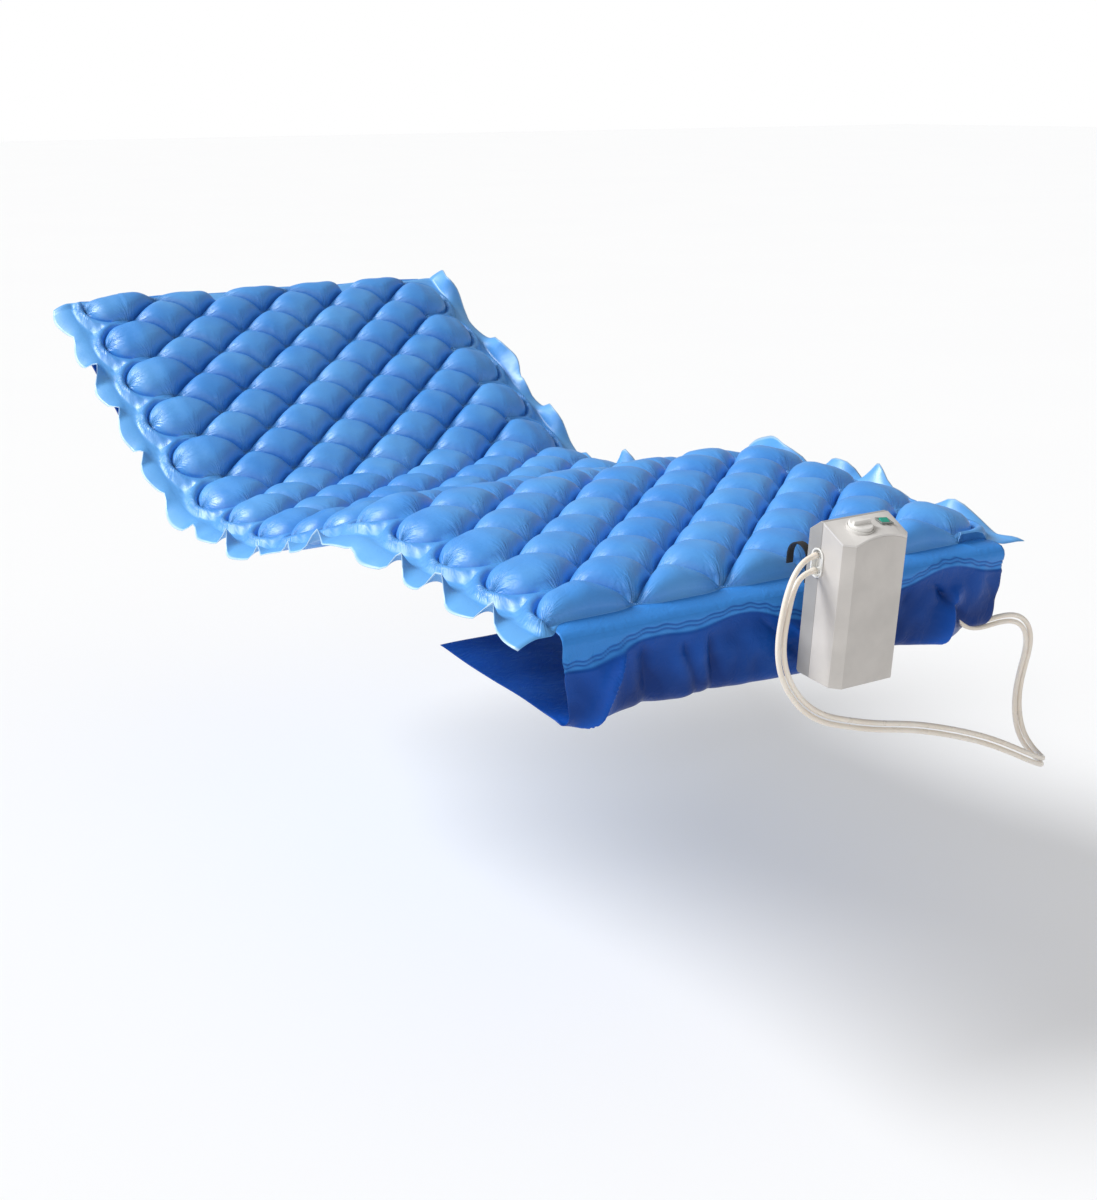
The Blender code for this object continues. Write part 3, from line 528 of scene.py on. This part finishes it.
def border_shape(side, s, share):
    """(x, lift) of the loose welded border, this share of the way out.

    It is a ruffle that droops past each end cell and buckles up into a narrow arch between two.
    """
    row = (s - FIRST) / PITCH
    parity = 1 if side < 0 else 0
    wander = np.sin(row * 1.7 + 2.1 * side) * 0.5 + np.sin(row * 0.61 + 1.3) * 0.5
    arch = np.zeros_like(row)
    lean = np.zeros_like(row)
    for pinch in range(-2, ROWS + 3):
        if (pinch - parity) % 2 == 0:
            continue
        at = pinch + 0.22 * hashed(pinch, side, 9.0)
        width = ARCH_WIDE * (1 + 0.35 * hashed(pinch, side, 2.0))
        size = 0.62 + 0.55 * hashed(pinch, side, 5.0)
        off = (row - at - 0.12 * share) / width
        arch = np.maximum(arch, size * np.exp(-(np.abs(off) ** 2.2)))
        lean = lean + size * off * np.exp(-(off**2)) * 0.5
    scallop = np.cos(math.pi * (row - parity))
    out = EDGE_X + 0.006 * scallop + 0.004 * wander - 0.008 * arch
    x = CHANNEL_OUT + (out - CHANNEL_OUT) * share
    droop = DROOP * (0.75 + 0.35 * wander) * share**1.6
    lift = ARCH_UP * arch * share**1.1 - droop * (1 - 0.7 * np.clip(arch, 0, 1))
    if side > 0:
        raised = np.zeros_like(row)
        for middle, half, height, power in RISES:
            raised = np.maximum(raised, height * bell(s, middle, half, power))
        calm = np.clip(raised / 0.03, 0, 1)
        lift = lift * (1 - 0.8 * calm) + raised * share**0.85
        x = x - 0.25 * raised * share
    return side * x, lift + 0.004 * lean * share


def head_curl(x):
    """How far the head edge of the film lifts off the flap's level."""
    return 0.003 * (1 + np.sin(x * 23.0 + 0.6))


def one_sheet(s, height, single):
    """A line of the grid where the film is one sheet, like one that row_surface hands back."""
    return s, height + FILM / 2, height - FILM / 2, np.full_like(s, single)


def head_lines(line, x):
    """The header past the first weld: from its edge in to that weld."""
    s, top = line[:2]
    edge = -BORDER - 0.0025 * np.sin(x * 31.0) - 0.0020 * np.sin(x * 57.0 + 1.0)
    lines = []
    for out in (1.0, 0.7, 0.35):
        height = SIDE_H + head_curl(x) * out + (top - FILM / 2 - SIDE_H) * (1 - out)
        lines.append(one_sheet(s + (edge - s) * out, height, 1.0))
    return lines


def foot_lines(line, x):
    """The film past the last weld. All but its corners stops short there, at the foot flap."""
    s, top = line[:2]
    edge = FOOT_EDGE + 0.002 * np.sin(x * 27.0)
    corner = 0.08 + 0.92 * smoothstep((np.abs(x) - 0.415) / 0.03)
    lines = []
    for out in (0.5 * corner, corner):
        height = SIDE_H + (top - FILM / 2 - SIDE_H) * (1 - out)
        lines.append(one_sheet(s + (edge - s) * out, height, 0.5))
    return lines


def with_borders(line, inner):
    """(x, s, top, under, single) of a whole line of the grid, its borders added."""
    s, top, under, single = line
    shares = np.linspace(0, 1, BORDER_STEPS + 1)[1:]
    # The cut edge gets a painted highlight in the film's material.
    marks = np.where(shares > 0.999, 2.0, 1.0)  # 2 is the cut edge
    ends = []
    for side, pick in ((-1, 0), (1, -1)):
        x, lift = border_shape(side, np.full_like(shares, s[pick]), shares)
        middle = (top[pick] + under[pick]) / 2 + lift
        place = np.full_like(x, s[pick])
        ends.append((x, place, middle + FILM / 2, middle - FILM / 2, marks))
    return [
        np.concatenate([left[::-1], own, right])
        for left, own, right in zip(ends[0], (inner, *line), ends[1])
    ]


def pad_piece(name, first, last, look):
    """The film of these rows: top and bottom skins on one flat grid, closed round the rim."""
    inner = field_columns()
    across = np.sin(np.linspace(-math.pi / 2, math.pi / 2, T_STEPS + 1))
    lines = []
    for row in range(first, last):
        for t in across[: None if row == last - 1 else -1]:
            lines.append(row_surface(row, inner, np.full_like(inner, t)))
    if first == SPLITS[0]:
        lines = head_lines(lines[0], inner) + lines
    if last == SPLITS[-1]:
        lines = lines + foot_lines(lines[-1], inner)
    whole = np.array([with_borders(line, inner) for line in lines])
    x, s, top, under, single = whole.transpose(1, 0, 2)
    flat = np.stack([x.ravel(), s.ravel(), np.zeros(x.size)], 1)
    sway = noise_at(flat, 9.0, 3).reshape(x.shape)
    ripple = noise_at(flat, 34.0, 4).reshape(x.shape)
    top = top + (0.0014 * sway + 0.0007 * ripple) * np.clip((top - under) / 0.03, 0, 1)
    points = []
    for height in (top, under):
        y, z = LINE.at(s.ravel(), height.ravel())
        points.append(np.stack([x.ravel(), y, z], 1))
    made = mesh_object(name, np.concatenate(points), skin_faces(x.shape), look)
    give_attribute(made, "single", np.tile(single.ravel(), 2))
    give_uv(made, "flat", np.tile(flat[:, :2], (2, 1)))
    return made


def build_pad():
    """The pad's three pieces of film; the CAD pieces that each one covers are hidden."""
    deep, pale = (0.040, 0.262, 0.72), (0.082, 0.335, 0.76)
    # The last colour is a painted highlight along the border's cut edge.
    look = film_look("blue_film", deep, pale, thin=(0.10, 0.37, 0.79), cut_edge_highlight=(0.45, 0.66, 0.88))
    back_nodes = ("back_cells_a", "back_cells_b", "back_sheet", "seat_cells_b")
    seat_nodes = ("seat_cells_a", "seat_sheet", "thigh_cells_a", "thigh_cells_b")
    foot_nodes = ("thigh_sheet", "calf_cells_a", "calf_cells_b", "calf_sheet")
    plan = (
        ("pad_back", "back", "seat", BACK_FOLD, back_nodes),
        ("pad_seat", "seat", "thigh", THIGH_FOLD, seat_nodes),
        ("pad_foot", "thigh", "calf", KNEE_FOLD, foot_nodes),
    )
    for (name, head_body, foot_body, fold, nodes), first, last in zip(plan, SPLITS, SPLITS[1:]):
        piece = pad_piece(name, first, last, look)
        start = LINE.point(0.0, fold - BEND, TOP / 2)
        end = LINE.point(0.0, fold + BEND, TOP / 2)
        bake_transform(piece)
        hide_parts(*nodes)


# --- the tuck-under flaps -----------------------------------------------------------------------

FLAP_HALF = 0.432
FLAP_FILM = 0.0009
FLAP_STEP = 0.006
EDGE_STEP = 0.004
SEAM_STEP = 0.0014  # finer, so that the stitched grooves show
FLAP_TAIL = 0.345  # how far a flap runs back under the mattress
FLAP_OUT = 0.0195  # how far its drop stands off the pad's edge
FLAP_BEND = 0.026  # the radius at the bottom of the drop
LAP_TUCK = 0.002  # both flaps are measured from this far inside the pad's edge
FOLD_COUNT = 15

# Where each flap starts on the pad: (outward, height) points up to its drop.
FOOT_LAP = (
    (-0.035, 0.0155), (-0.027, 0.0168), (-0.020, 0.0172), (-0.011, 0.0158), (-0.002, 0.0128),
    (0.006, 0.0090), (0.0115, 0.0035),
)
HEAD_LAP = ((-0.008, 0.0088), (0.004, 0.0088), (0.0085, 0.0085), (0.0122, 0.0065))
FOOT_LEAD = 0.0300  # length of the foot's lap before the pad's edge
DROP_LINE = ((0.0145, -0.004), (0.0160, -0.022), (0.0165, -0.036), (0.0190, -0.055))


def thin_sheet(name, middle, thickness, look):
    """A closed sheet of this thickness about a grid of middle points."""
    along = np.gradient(middle, axis=0)
    across = np.gradient(middle, axis=1)
    normal = np.cross(along, across)
    normal /= np.linalg.norm(normal, axis=2, keepdims=True)
    points = [(middle + side * normal * thickness / 2).reshape(-1, 3) for side in (1, -1)]
    return mesh_object(name, np.concatenate(points), skin_faces(middle.shape[:2]), look)


def flap_profile(lap, lead, drop):
    """(outward, height, length) points down the drop, round its bottom and along the tail."""
    inner, bottom = FLAP_OUT - FLAP_BEND, FLAP_BEND - drop
    turn = [math.pi * step / 16 for step in range(9)]
    bend = [(inner + FLAP_BEND * math.cos(a), bottom - FLAP_BEND * math.sin(a)) for a in turn]
    tail = [(inner - FLAP_TAIL * share, -drop) for share in np.linspace(0.05, 1.0, 24)]
    points = np.array([*lap, *DROP_LINE, *bend, *tail])
    length = length_along(points)[-1]
    seam_from, seam_to = lead + 0.016, lead + 0.074
    spans = (
        (0.0, seam_from, EDGE_STEP), (seam_from, seam_to, SEAM_STEP), (seam_to, length, FLAP_STEP)
    )
    places = [
        np.linspace(low, high, round((high - low) / step), endpoint=False)
        for low, high, step in spans
    ]
    places = np.concatenate([*places, [length]])
    return np.column_stack([path_at(points, places), places])


def crumple(x, down, drop, seed):
    """How far film stands out from its plain drop: V folds that start at the seam and cross."""
    total = np.zeros_like(x)
    for index in range(FOLD_COUNT):
        share = (index + 0.5 + 0.45 * hashed(index, seed, 1.0)) / FOLD_COUNT
        at = FLAP_HALF * (2 * share - 1)
        lean = 1.3 * hashed(index, seed, 2.0)
        top = 0.030 + 0.030 * abs(hashed(index, seed, 6.0))
        width = 0.012 + 0.008 * abs(hashed(index, seed, 3.0))
        size = 0.023 * hashed(index, seed, 4.0) + 0.006
        spread = width * (0.6 + 0.6 * np.clip((down - top) / drop, 0, 1))
        off = np.abs(x - at - lean * (down - top)) / spread
        total += size * np.exp(-(off**1.25)) * smoothstep((down - top) / 0.035)
    return total


def build_flap(name, lap, lead, edge, outwards, drop, seed, look):
    """Film that hangs past one end of the pad, with soft folds, and runs back under."""
    profile = flap_profile(lap, lead, drop)
    xs = np.arange(-FLAP_HALF, FLAP_HALF + 1e-6, FLAP_STEP * 0.6)
    x, down = np.meshgrid(xs, profile[:, 2] - lead)
    out = np.repeat(profile[:, :1], len(xs), 1)
    height = np.repeat(profile[:, 1:2], len(xs), 1)
    at_foot = outwards > 0
    if at_foot:
        flat_lap = 0.0092 + (height - 0.0092) * (1 - side_slope(x))
        height = np.minimum(height, flat_lap)
    else:
        on_top = smoothstep(down / 0.006) * (1 - smoothstep((down - 0.012) / 0.02))
        height = height + head_curl(x) * on_top
    hang = smoothstep((down - 0.02) / 0.04) * (1 - smoothstep((down - drop - 0.03) / 0.07))
    flat = np.stack([x.ravel(), down.ravel(), np.zeros(x.size)], 1)
    slack = noise_at(flat * np.array([1.0, 0.7, 1.0]), 10.0, seed).reshape(x.shape)
    small = noise_at(flat, 34.0, seed + 1).reshape(x.shape)
    seam = 0.0440 + 0.011 * np.sin(x * 13.0 + seed) + 0.006 * np.sin(x * 31.0 + 2.0 * seed)
    past_seam = down - seam
    room = 1 - 0.55 * bell(x, 0.0275, 0.10, 4) if at_foot else 1.0  # room for the pump
    fold = crumple(x, down, drop, seed) + 0.010 * slack + 0.0030 * small
    lip = 0.0045 * smoothstep(past_seam / 0.006) * np.exp(-np.clip(past_seam, 0, None) / 0.03)
    out = out + hang * room * (fold + lip - 0.003)
    wave = 0.0012 * np.sin(x * 2 * math.pi / 0.034 + 2.0 * np.sin(x * 19.0 + seed))
    grooves = sum(bell(past_seam, wave + gap, 0.0017) for gap in (-0.0095, -0.0040))
    out = out - 0.0016 * grooves
    # Painted shade and light: darker in the fold valleys and towards the bottom of the drop, paler
    # on the fold ridges.
    shade = fold * hang / 0.012 - 0.7 * smoothstep((down - 0.065) / 0.07)
    under = smoothstep((down - drop - 0.03) / 0.05)
    ripple = noise_at(flat, 8.0, seed + 2).reshape(x.shape)
    height = height + under * (0.005 * ripple - 0.001) - (1 - under) * hang * 0.005 * (1 + slack)
    pull = 1 - 0.035 * smoothstep((down - 0.05) / 0.1) - 0.012 * slack * smoothstep(down / 0.1)
    s = edge + outwards * out
    y, z = LINE.at(s.ravel(), height.ravel())
    middle = np.stack([(x * pull).ravel(), y, z], 1).reshape(*x.shape, 3)
    strip = 1 - smoothstep(past_seam / 0.004)
    # The "fold" attribute carries that painted shade and light.
    marks = {"single": strip, "seam": grooves, "fold": shade}
    if not at_foot:  # so that the sheet's outer side stays outwards
        middle = middle[::-1]
        marks = {key: value[::-1] for key, value in marks.items()}
    made = thin_sheet(name, middle, FLAP_FILM, look)
    for key, value in marks.items():
        give_attribute(made, key, np.tile(value.ravel(), 2))
    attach(made, "calf" if at_foot else "back")
    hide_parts(name + "_drop", name + "_tail")


def flap_look():
    """Darker, softer film: paler above the seam, darker in its grooves; painted shade in fold
    valleys and low on the drop, painted light on fold ridges.
    """
    look = Look("flap_film", (0.010, 0.08, 0.38), 0.42, Specular_IOR_Level=0.15)
    lit = look.mix(look.cloud(5.0, 3.0), (0.008, 0.090, 0.48), (0.016, 0.14, 0.62))
    # Painted shade in the fold valleys and low on the drop, painted light on the fold ridges.
    lit = look.mix(look.ramp(look.attribute("fold"), -1.1, 1.1), (0.002, 0.030, 0.18), lit)
    strip = look.ramp(look.attribute("single"), 0.0, 1.0)
    body = look.mix(strip, lit, (0.045, 0.25, 0.70))
    groove = look.ramp(look.attribute("seam"), 0.1, 0.9, 0.0, 0.75)
    look.feed("Base Color", look.mix(groove, body, (0.010, 0.075, 0.36)))
    look.satin(26.0, 4.0, 0.28, 0.44)
    fine = look.bump(look.noise(900.0, 2.0), 0.05, 0.0006)
    look.feed("Normal", look.bump(look.noise(45.0, 6.0, distortion=1.5), 0.35, 0.004, fine))
    return look.material


def build_flaps():
    """The flaps that hold the pad on the mattress, one at each end."""
    look = flap_look()
    foot_edge, head_edge = FOOT_EDGE - LAP_TUCK, -BORDER + LAP_TUCK
    build_flap("foot_flap", FOOT_LAP, FOOT_LEAD, foot_edge, 1, 0.128, 7, look)
    build_flap("head_flap", HEAD_LAP, 0.0, head_edge, -1, 0.122, 11, look)


# --- hoses --------------------------------------------------------------------------------------

HOSE_RADIUS = 0.0042
HOSE_SIDES = 18
HOSE_STEP = 0.004
HOSE_ROUNDS = 30  # how often the path's small corners are eased
PUSH_ON = 0.0085  # how far each end goes over its nipple
CUFF = 0.0008  # how much wider it is there
CUFF_LENGTH = 0.006
CURVE_STEPS = 16

# Each row: a point midway between the two hoses, then half of their separation there.
HOSE_ROUTE = (
    ((-0.0456, -1.1976, 0.1538), (0.0, -0.0010, 0.0115)),
    ((-0.0560, -1.1976, 0.1538), (0.0, -0.0010, 0.0115)),
    ((-0.0740, -1.1990, 0.1430), (-0.0040, -0.0020, 0.0062)),
    ((-0.0880, -1.2010, 0.1180), (-0.0055, -0.0010, 0.0030)),
    ((-0.0980, -1.2025, 0.0830), (-0.0054, 0.0, 0.0012)),
    ((-0.1045, -1.2030, 0.0440), (-0.0054, 0.0, 0.0002)),
    ((-0.1000, -1.2030, 0.0060), (-0.0053, 0.0, -0.0012)),
    ((-0.0820, -1.2028, -0.0310), (-0.0047, 0.0, -0.0027)),
    ((-0.0530, -1.2020, -0.0640), (-0.0035, 0.0, -0.0041)),
    ((-0.0150, -1.2010, -0.0890), (-0.0025, 0.0, -0.0048)),
    ((0.0330, -1.1990, -0.1070), (-0.0018, 0.0, -0.0051)),
    ((0.0960, -1.1970, -0.1260), (-0.0015, 0.0, -0.0052)),
    ((0.1830, -1.1940, -0.1470), (-0.0014, 0.0, -0.0052)),
    ((0.2710, -1.1910, -0.1750), (-0.0017, 0.0, -0.0051)),
    ((0.3560, -1.1890, -0.2080), (-0.0021, 0.0, -0.0050)),
    ((0.4220, -1.1880, -0.2400), (-0.0024, 0.0, -0.0049)),
    ((0.4800, -1.1860, -0.2700), (-0.0022, 0.0, -0.0050)),
    ((0.5210, -1.1690, -0.2880), (-0.0012, 0.0, -0.0053)),
    ((0.5330, -1.1430, -0.2880), (0.0, 0.0006, -0.0054)),
    ((0.5250, -1.1180, -0.2640), (-0.0020, 0.0020, -0.0046)),
    ((0.5160, -1.1080, -0.2200), (-0.0052, 0.0006, -0.0012)),
    ((0.5140, -1.1070, -0.1760), (-0.0054, 0.0, 0.0)),
    ((0.5230, -1.1070, -0.1340), (-0.0051, 0.0, 0.0016)),
    ((0.5330, -1.1070, -0.0990), (-0.0054, 0.0, 0.0006)),
    ((0.5280, -1.1060, -0.0660), (-0.0044, 0.0, -0.0031)),
    ((0.5040, -1.1030, -0.0460), (-0.0018, 0.0, -0.0051)),
    ((0.4640, -1.1000, -0.0425), (0.0, 0.0, -0.0054)),
    ((0.4180, -1.1020, -0.0440), (-0.0002, 0.0, -0.0054)),
    ((0.3800, -1.1060, -0.0330), (-0.0038, 0.0, -0.0056)),
    ((0.3540, -1.1105, -0.0060), (-0.0090, 0.0, -0.0040)),
    ((0.3475, -1.1132, 0.0285), (-0.0125, 0.0, 0.0)),
    ((0.3475, -1.1151, 0.0583), (-0.0125, 0.0, 0.0)),
)


def smooth_path(points, step):
    """Points every step along a centripetal Catmull-Rom curve through the given ones."""
    knots = [Vector(p) for p in points]
    knots = [2 * knots[0] - knots[1]] + knots + [2 * knots[-1] - knots[-2]]
    dense = []
    for a, b, c, d in zip(knots, knots[1:], knots[2:], knots[3:]):
        t1 = (b - a).length ** 0.5
        t2 = t1 + (c - b).length ** 0.5
        t3 = t2 + (d - c).length ** 0.5
        for i in range(CURVE_STEPS):
            t = t1 + (t2 - t1) * i / CURVE_STEPS
            ab = a.lerp(b, t / t1)
            bc = b.lerp(c, (t - t1) / (t2 - t1))
            cd = c.lerp(d, (t - t2) / (t3 - t2))
            abc = ab.lerp(bc, t / t2)
            bcd = bc.lerp(cd, (t - t1) / (t3 - t1))
            dense.append(abc.lerp(bcd, (t - t1) / (t2 - t1)))
    dense.append(knots[-2])
    line = np.array(dense)
    length = length_along(line)[-1]
    return path_at(line, np.linspace(0.0, length, round(length / step) + 1))


def relaxed(path, rounds):
    """The path with its small corners eased, both ends held."""
    path = path.copy()
    for _ in range(rounds):
        path[2:-2] += 0.5 * ((path[1:-3] + path[3:-1]) / 2 - path[2:-2])
    return path


def pushed_on(end, inner):
    """The end of a route, moved on over its nipple."""
    return end + (end - inner) / np.linalg.norm(end - inner) * PUSH_ON


def tube_mesh(name, path, radii, look, sides):
    """A closed tube along a path that starts out level, its rings carried without twist."""
    tangent = np.gradient(path, axis=0)
    tangent /= np.linalg.norm(tangent, axis=1, keepdims=True)
    side = np.cross(tangent[0], (0.0, 0.0, 1.0))
    turn = np.linspace(0, 2 * math.pi, sides, endpoint=False)
    rings = []
    for point, along, radius in zip(path, tangent, radii):
        side = side - along * side.dot(along)
        side /= np.linalg.norm(side)
        other = np.cross(along, side)
        ring = np.outer(np.cos(turn), side) + np.outer(np.sin(turn), other)
        rings.append(point + radius * ring)
    points = np.concatenate(rings)
    faces = []
    for ring in range(len(path) - 1):
        for k in range(sides):
            j = (k + 1) % sides
            base, above = ring * sides, (ring + 1) * sides
            faces.append((base + k, base + j, above + j, above + k))
    faces.append(tuple(range(sides - 1, -1, -1)))
    last = (len(path) - 1) * sides
    faces.append(tuple(range(last, last + sides)))
    return mesh_object(name, points, faces, look)


def build_hoses():
    """The two hoses side by side, from the pump's socket to the port block under the foot."""
    look = Look("hose_vinyl", (0.80, 0.72, 0.60), 0.30, Subsurface_Weight=0.15)
    look.set("Subsurface Scale", 0.004)
    look.set("Subsurface Radius", (1.0, 0.8, 0.6))
    look.feed("Base Color", look.mix(look.cloud(9.0, 3.0), (0.80, 0.72, 0.62), (0.88, 0.82, 0.74)))
    look.satin(40.0, 3.0, 0.25, 0.40)
    look.feed("Normal", look.bump(look.noise(500.0, 2.0), 0.06, 0.0004))
    for name, sign in (("hose_a", 1), ("hose_b", -1)):
        route = [np.array(point) + sign * np.array(half) for point, half in HOSE_ROUTE]
        start, end = pushed_on(route[0], route[1]), pushed_on(route[-1], route[-2])
        path = relaxed(smooth_path([start, *route[1:-1], end], HOSE_STEP), HOSE_ROUNDS)
        along = length_along(path)
        from_end = np.minimum(along, along[-1] - along)
        radii = HOSE_RADIUS + CUFF * (1 - smoothstep(from_end / CUFF_LENGTH - 1))
        piece = tube_mesh("tube_" + name, path, radii, look.material, HOSE_SIDES)
        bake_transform(piece)
        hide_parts(name)


# --- the pump: CAD pieces with eased edges and moulded finishes ---------------------------------

EDGE_WIDTHS = {
    "front_shell": 0.0022, "back_shell": 0.0018, "control_panel": 0.0012,
    "pressure_dial": 0.0010, "dial_seat": 0.0004, "switch_bezel": 0.0006,
    "power_rocker": 0.0006, "outlet_socket": 0.0008,
    "hook_left": 0.0006, "hook_right": 0.0006,
}
SHARP_ANGLE = math.radians(30.0)
EDGE_SEGMENTS = 3
WELD_GAP = 0.00002


def ease(node, width):
    """Rounds a CAD piece's sharp edges for show; its own mesh isn't touched."""
    piece = frame["nodes"][node]
    weld = piece.modifiers.new("weld", "WELD")
    weld.merge_threshold = WELD_GAP
    bevel = piece.modifiers.new("ease", "BEVEL")
    bevel.width = width
    bevel.segments = EDGE_SEGMENTS
    bevel.limit_method = "ANGLE"
    bevel.angle_limit = SHARP_ANGLE
    bevel.harden_normals = False
    piece.data.shade_smooth()
    smooth = piece.modifiers.new("normals", "WEIGHTED_NORMAL")
    smooth.keep_sharp = False


def dress(node, look):
    """Gives a CAD piece this material, in place of the one it came with."""
    mesh = frame["nodes"][node].data
    mesh.materials.clear()
    mesh.materials.append(look)


def finish_nodes():
    """The finishes of the CAD pieces: by material slot first, then those with one of their own."""
    case = plastic_look("case_silver", (0.575, 0.545, 0.515), 0.38)
    back = plastic_look("case_back", (0.36, 0.35, 0.34), 0.45)
    white = plastic_look("socket_white", (0.82, 0.81, 0.78), 0.32)
    dark = plastic_look("black_nylon", (0.018, 0.018, 0.020), 0.48)
    green = plastic_look("switch_green", (0.02, 0.42, 0.30), 0.22, grain=300.0)
    rubber = plastic_look("black_rubber", (0.020, 0.020, 0.020), 0.75, grain=700.0)
    clear = plastic_look("tube_silicone", (0.66, 0.66, 0.60), 0.28)
    steel = metal_look("zinc_steel", (0.62, 0.63, 0.66), 0.32)
    copper = metal_look("coil_copper", (0.62, 0.26, 0.11), 0.38, (1.0, 1.0, 90.0))
    brass = metal_look("valve_brass", (0.72, 0.52, 0.22), 0.30)
    by_slot = {
        "case_plastic": case, "back_plastic": back, "white_plastic": white, "black_nylon": dark,
        "switch_green": green, "black_rubber": rubber, "tube_silicone": clear, "zinc_steel": steel,
        "coil_copper": copper, "valve_brass": brass,
    }
    for entry in frame["record"]["subparts"]:
        look = by_slot.get(entry.get("material_slot"))
        if look:
            dress(entry["node"], look)
    own = {
        "hose_port_block": plastic_look("port_film", (0.02, 0.17, 0.60), 0.35),
        "control_panel": plastic_look("panel_silver", (0.66, 0.635, 0.61), 0.36),
        "pressure_dial": plastic_look("dial_pale", (0.78, 0.76, 0.73), 0.34),
        "dial_seat": plastic_look("dial_seat_pale", (0.70, 0.68, 0.65), 0.36),
        "switch_bezel": plastic_look("bezel_grey", (0.20, 0.22, 0.21), 0.40),
    }
    for node, look in own.items():
        dress(node, look)
    for node, width in EDGE_WIDTHS.items():
        ease(node, width)


# --- camera, light and stage --------------------------------------------------------------------

CAMERA_AT = (-1.6555, -2.987, 0.804)
CAMERA_TURN = (32.89, 16.46, -0.3625)  # yaw, pitch and roll, in degrees
LENS = 51.26
FLOOR_Z = -0.652
FLOOR_HALF = 60
FLOOR_GLOW = 0.30  # thins the shadow, which the photograph doesn't have
WORLD_GLOW = 0.40
BACKDROP = 1.0

# Each sun: its name, its strength, how wide it looks in degrees, and where it stands.
SUNS = (
    ("key", 3.2, 24, (-0.60, 0.42, 0.68)),
    ("fill", 0.55, 40, (-0.80, -0.45, 0.42)),
)


def build_camera():
    """The photograph's camera, as it was fitted to the bed."""
    yaw, pitch, roll = (math.radians(angle) for angle in CAMERA_TURN)
    level = math.cos(pitch)
    forward = Vector((math.sin(yaw) * level, math.cos(yaw) * level, -math.sin(pitch)))
    right = Vector((math.cos(yaw), -math.sin(yaw), 0.0))
    up = right.cross(forward)
    axis_x = right * math.cos(roll) + up * math.sin(roll)
    axis_y = up * math.cos(roll) - right * math.sin(roll)
    data = bpy.data.cameras.new("camera")
    data.lens = LENS
    camera = link(bpy.data.objects.new("camera", data))
    turn = Matrix((axis_x, axis_y, -forward)).transposed().to_4x4()
    camera.matrix_world = Matrix.Translation(CAMERA_AT) @ turn
    bpy.context.scene.camera = camera


def build_floor():
    look = Look("floor_pale", (0.60, 0.60, 0.60), 0.7, Specular_IOR_Level=0.1)
    shade = look.mix(look.noise(0.8, 2.0), (0.595, 0.595, 0.60), (0.61, 0.61, 0.61))
    look.feed("Base Color", shade)
    look.set("Emission Color", (1.0, 1.0, 1.0, 1.0))
    look.set("Emission Strength", FLOOR_GLOW)
    signs = ((-1, -1), (1, -1), (1, 1), (-1, 1))
    corners = [(x * FLOOR_HALF, y * FLOOR_HALF, FLOOR_Z) for x, y in signs]
    mesh_object("floor", corners, [(0, 1, 2, 3)], look.material, smooth=False)


def build_world():
    """A soft glow that lights the part, behind a backdrop that only the camera sees."""
    world = bpy.data.worlds.new("studio")
    world.use_nodes = True
    tree = world.node_tree
    glow = tree.nodes["Background"]
    glow.inputs[0].default_value = (1.0, 0.98, 0.955, 1.0)
    glow.inputs[1].default_value = WORLD_GLOW
    backdrop = tree.nodes.new("ShaderNodeBackground")
    backdrop.inputs[0].default_value = (1.0, 1.0, 1.0, 1.0)
    backdrop.inputs[1].default_value = BACKDROP
    seen = tree.nodes.new("ShaderNodeLightPath").outputs["Is Camera Ray"]
    choose = tree.nodes.new("ShaderNodeMixShader")
    tree.links.new(seen, choose.inputs[0])
    tree.links.new(glow.outputs[0], choose.inputs[1])
    tree.links.new(backdrop.outputs[0], choose.inputs[2])
    tree.links.new(choose.outputs[0], tree.nodes["World Output"].inputs[0])
    bpy.context.scene.world = world


def build_suns():
    for name, energy, angle, source in SUNS:
        data = bpy.data.lights.new(name, "SUN")
        data.energy = energy
        data.angle = math.radians(angle)
        data.color = (0.97, 0.985, 1.0)
        lamp = link(bpy.data.objects.new(name, data))
        lamp.rotation_euler = Vector(source).to_track_quat("Z", "Y").to_euler()


def main():
    # The default view transform greys the film.
    bpy.context.scene.view_settings.view_transform = "Standard"
    build_camera()
    build_floor()
    build_world()
    build_suns()
    build_pad()
    build_flaps()
    build_hoses()
    finish_nodes()


main()
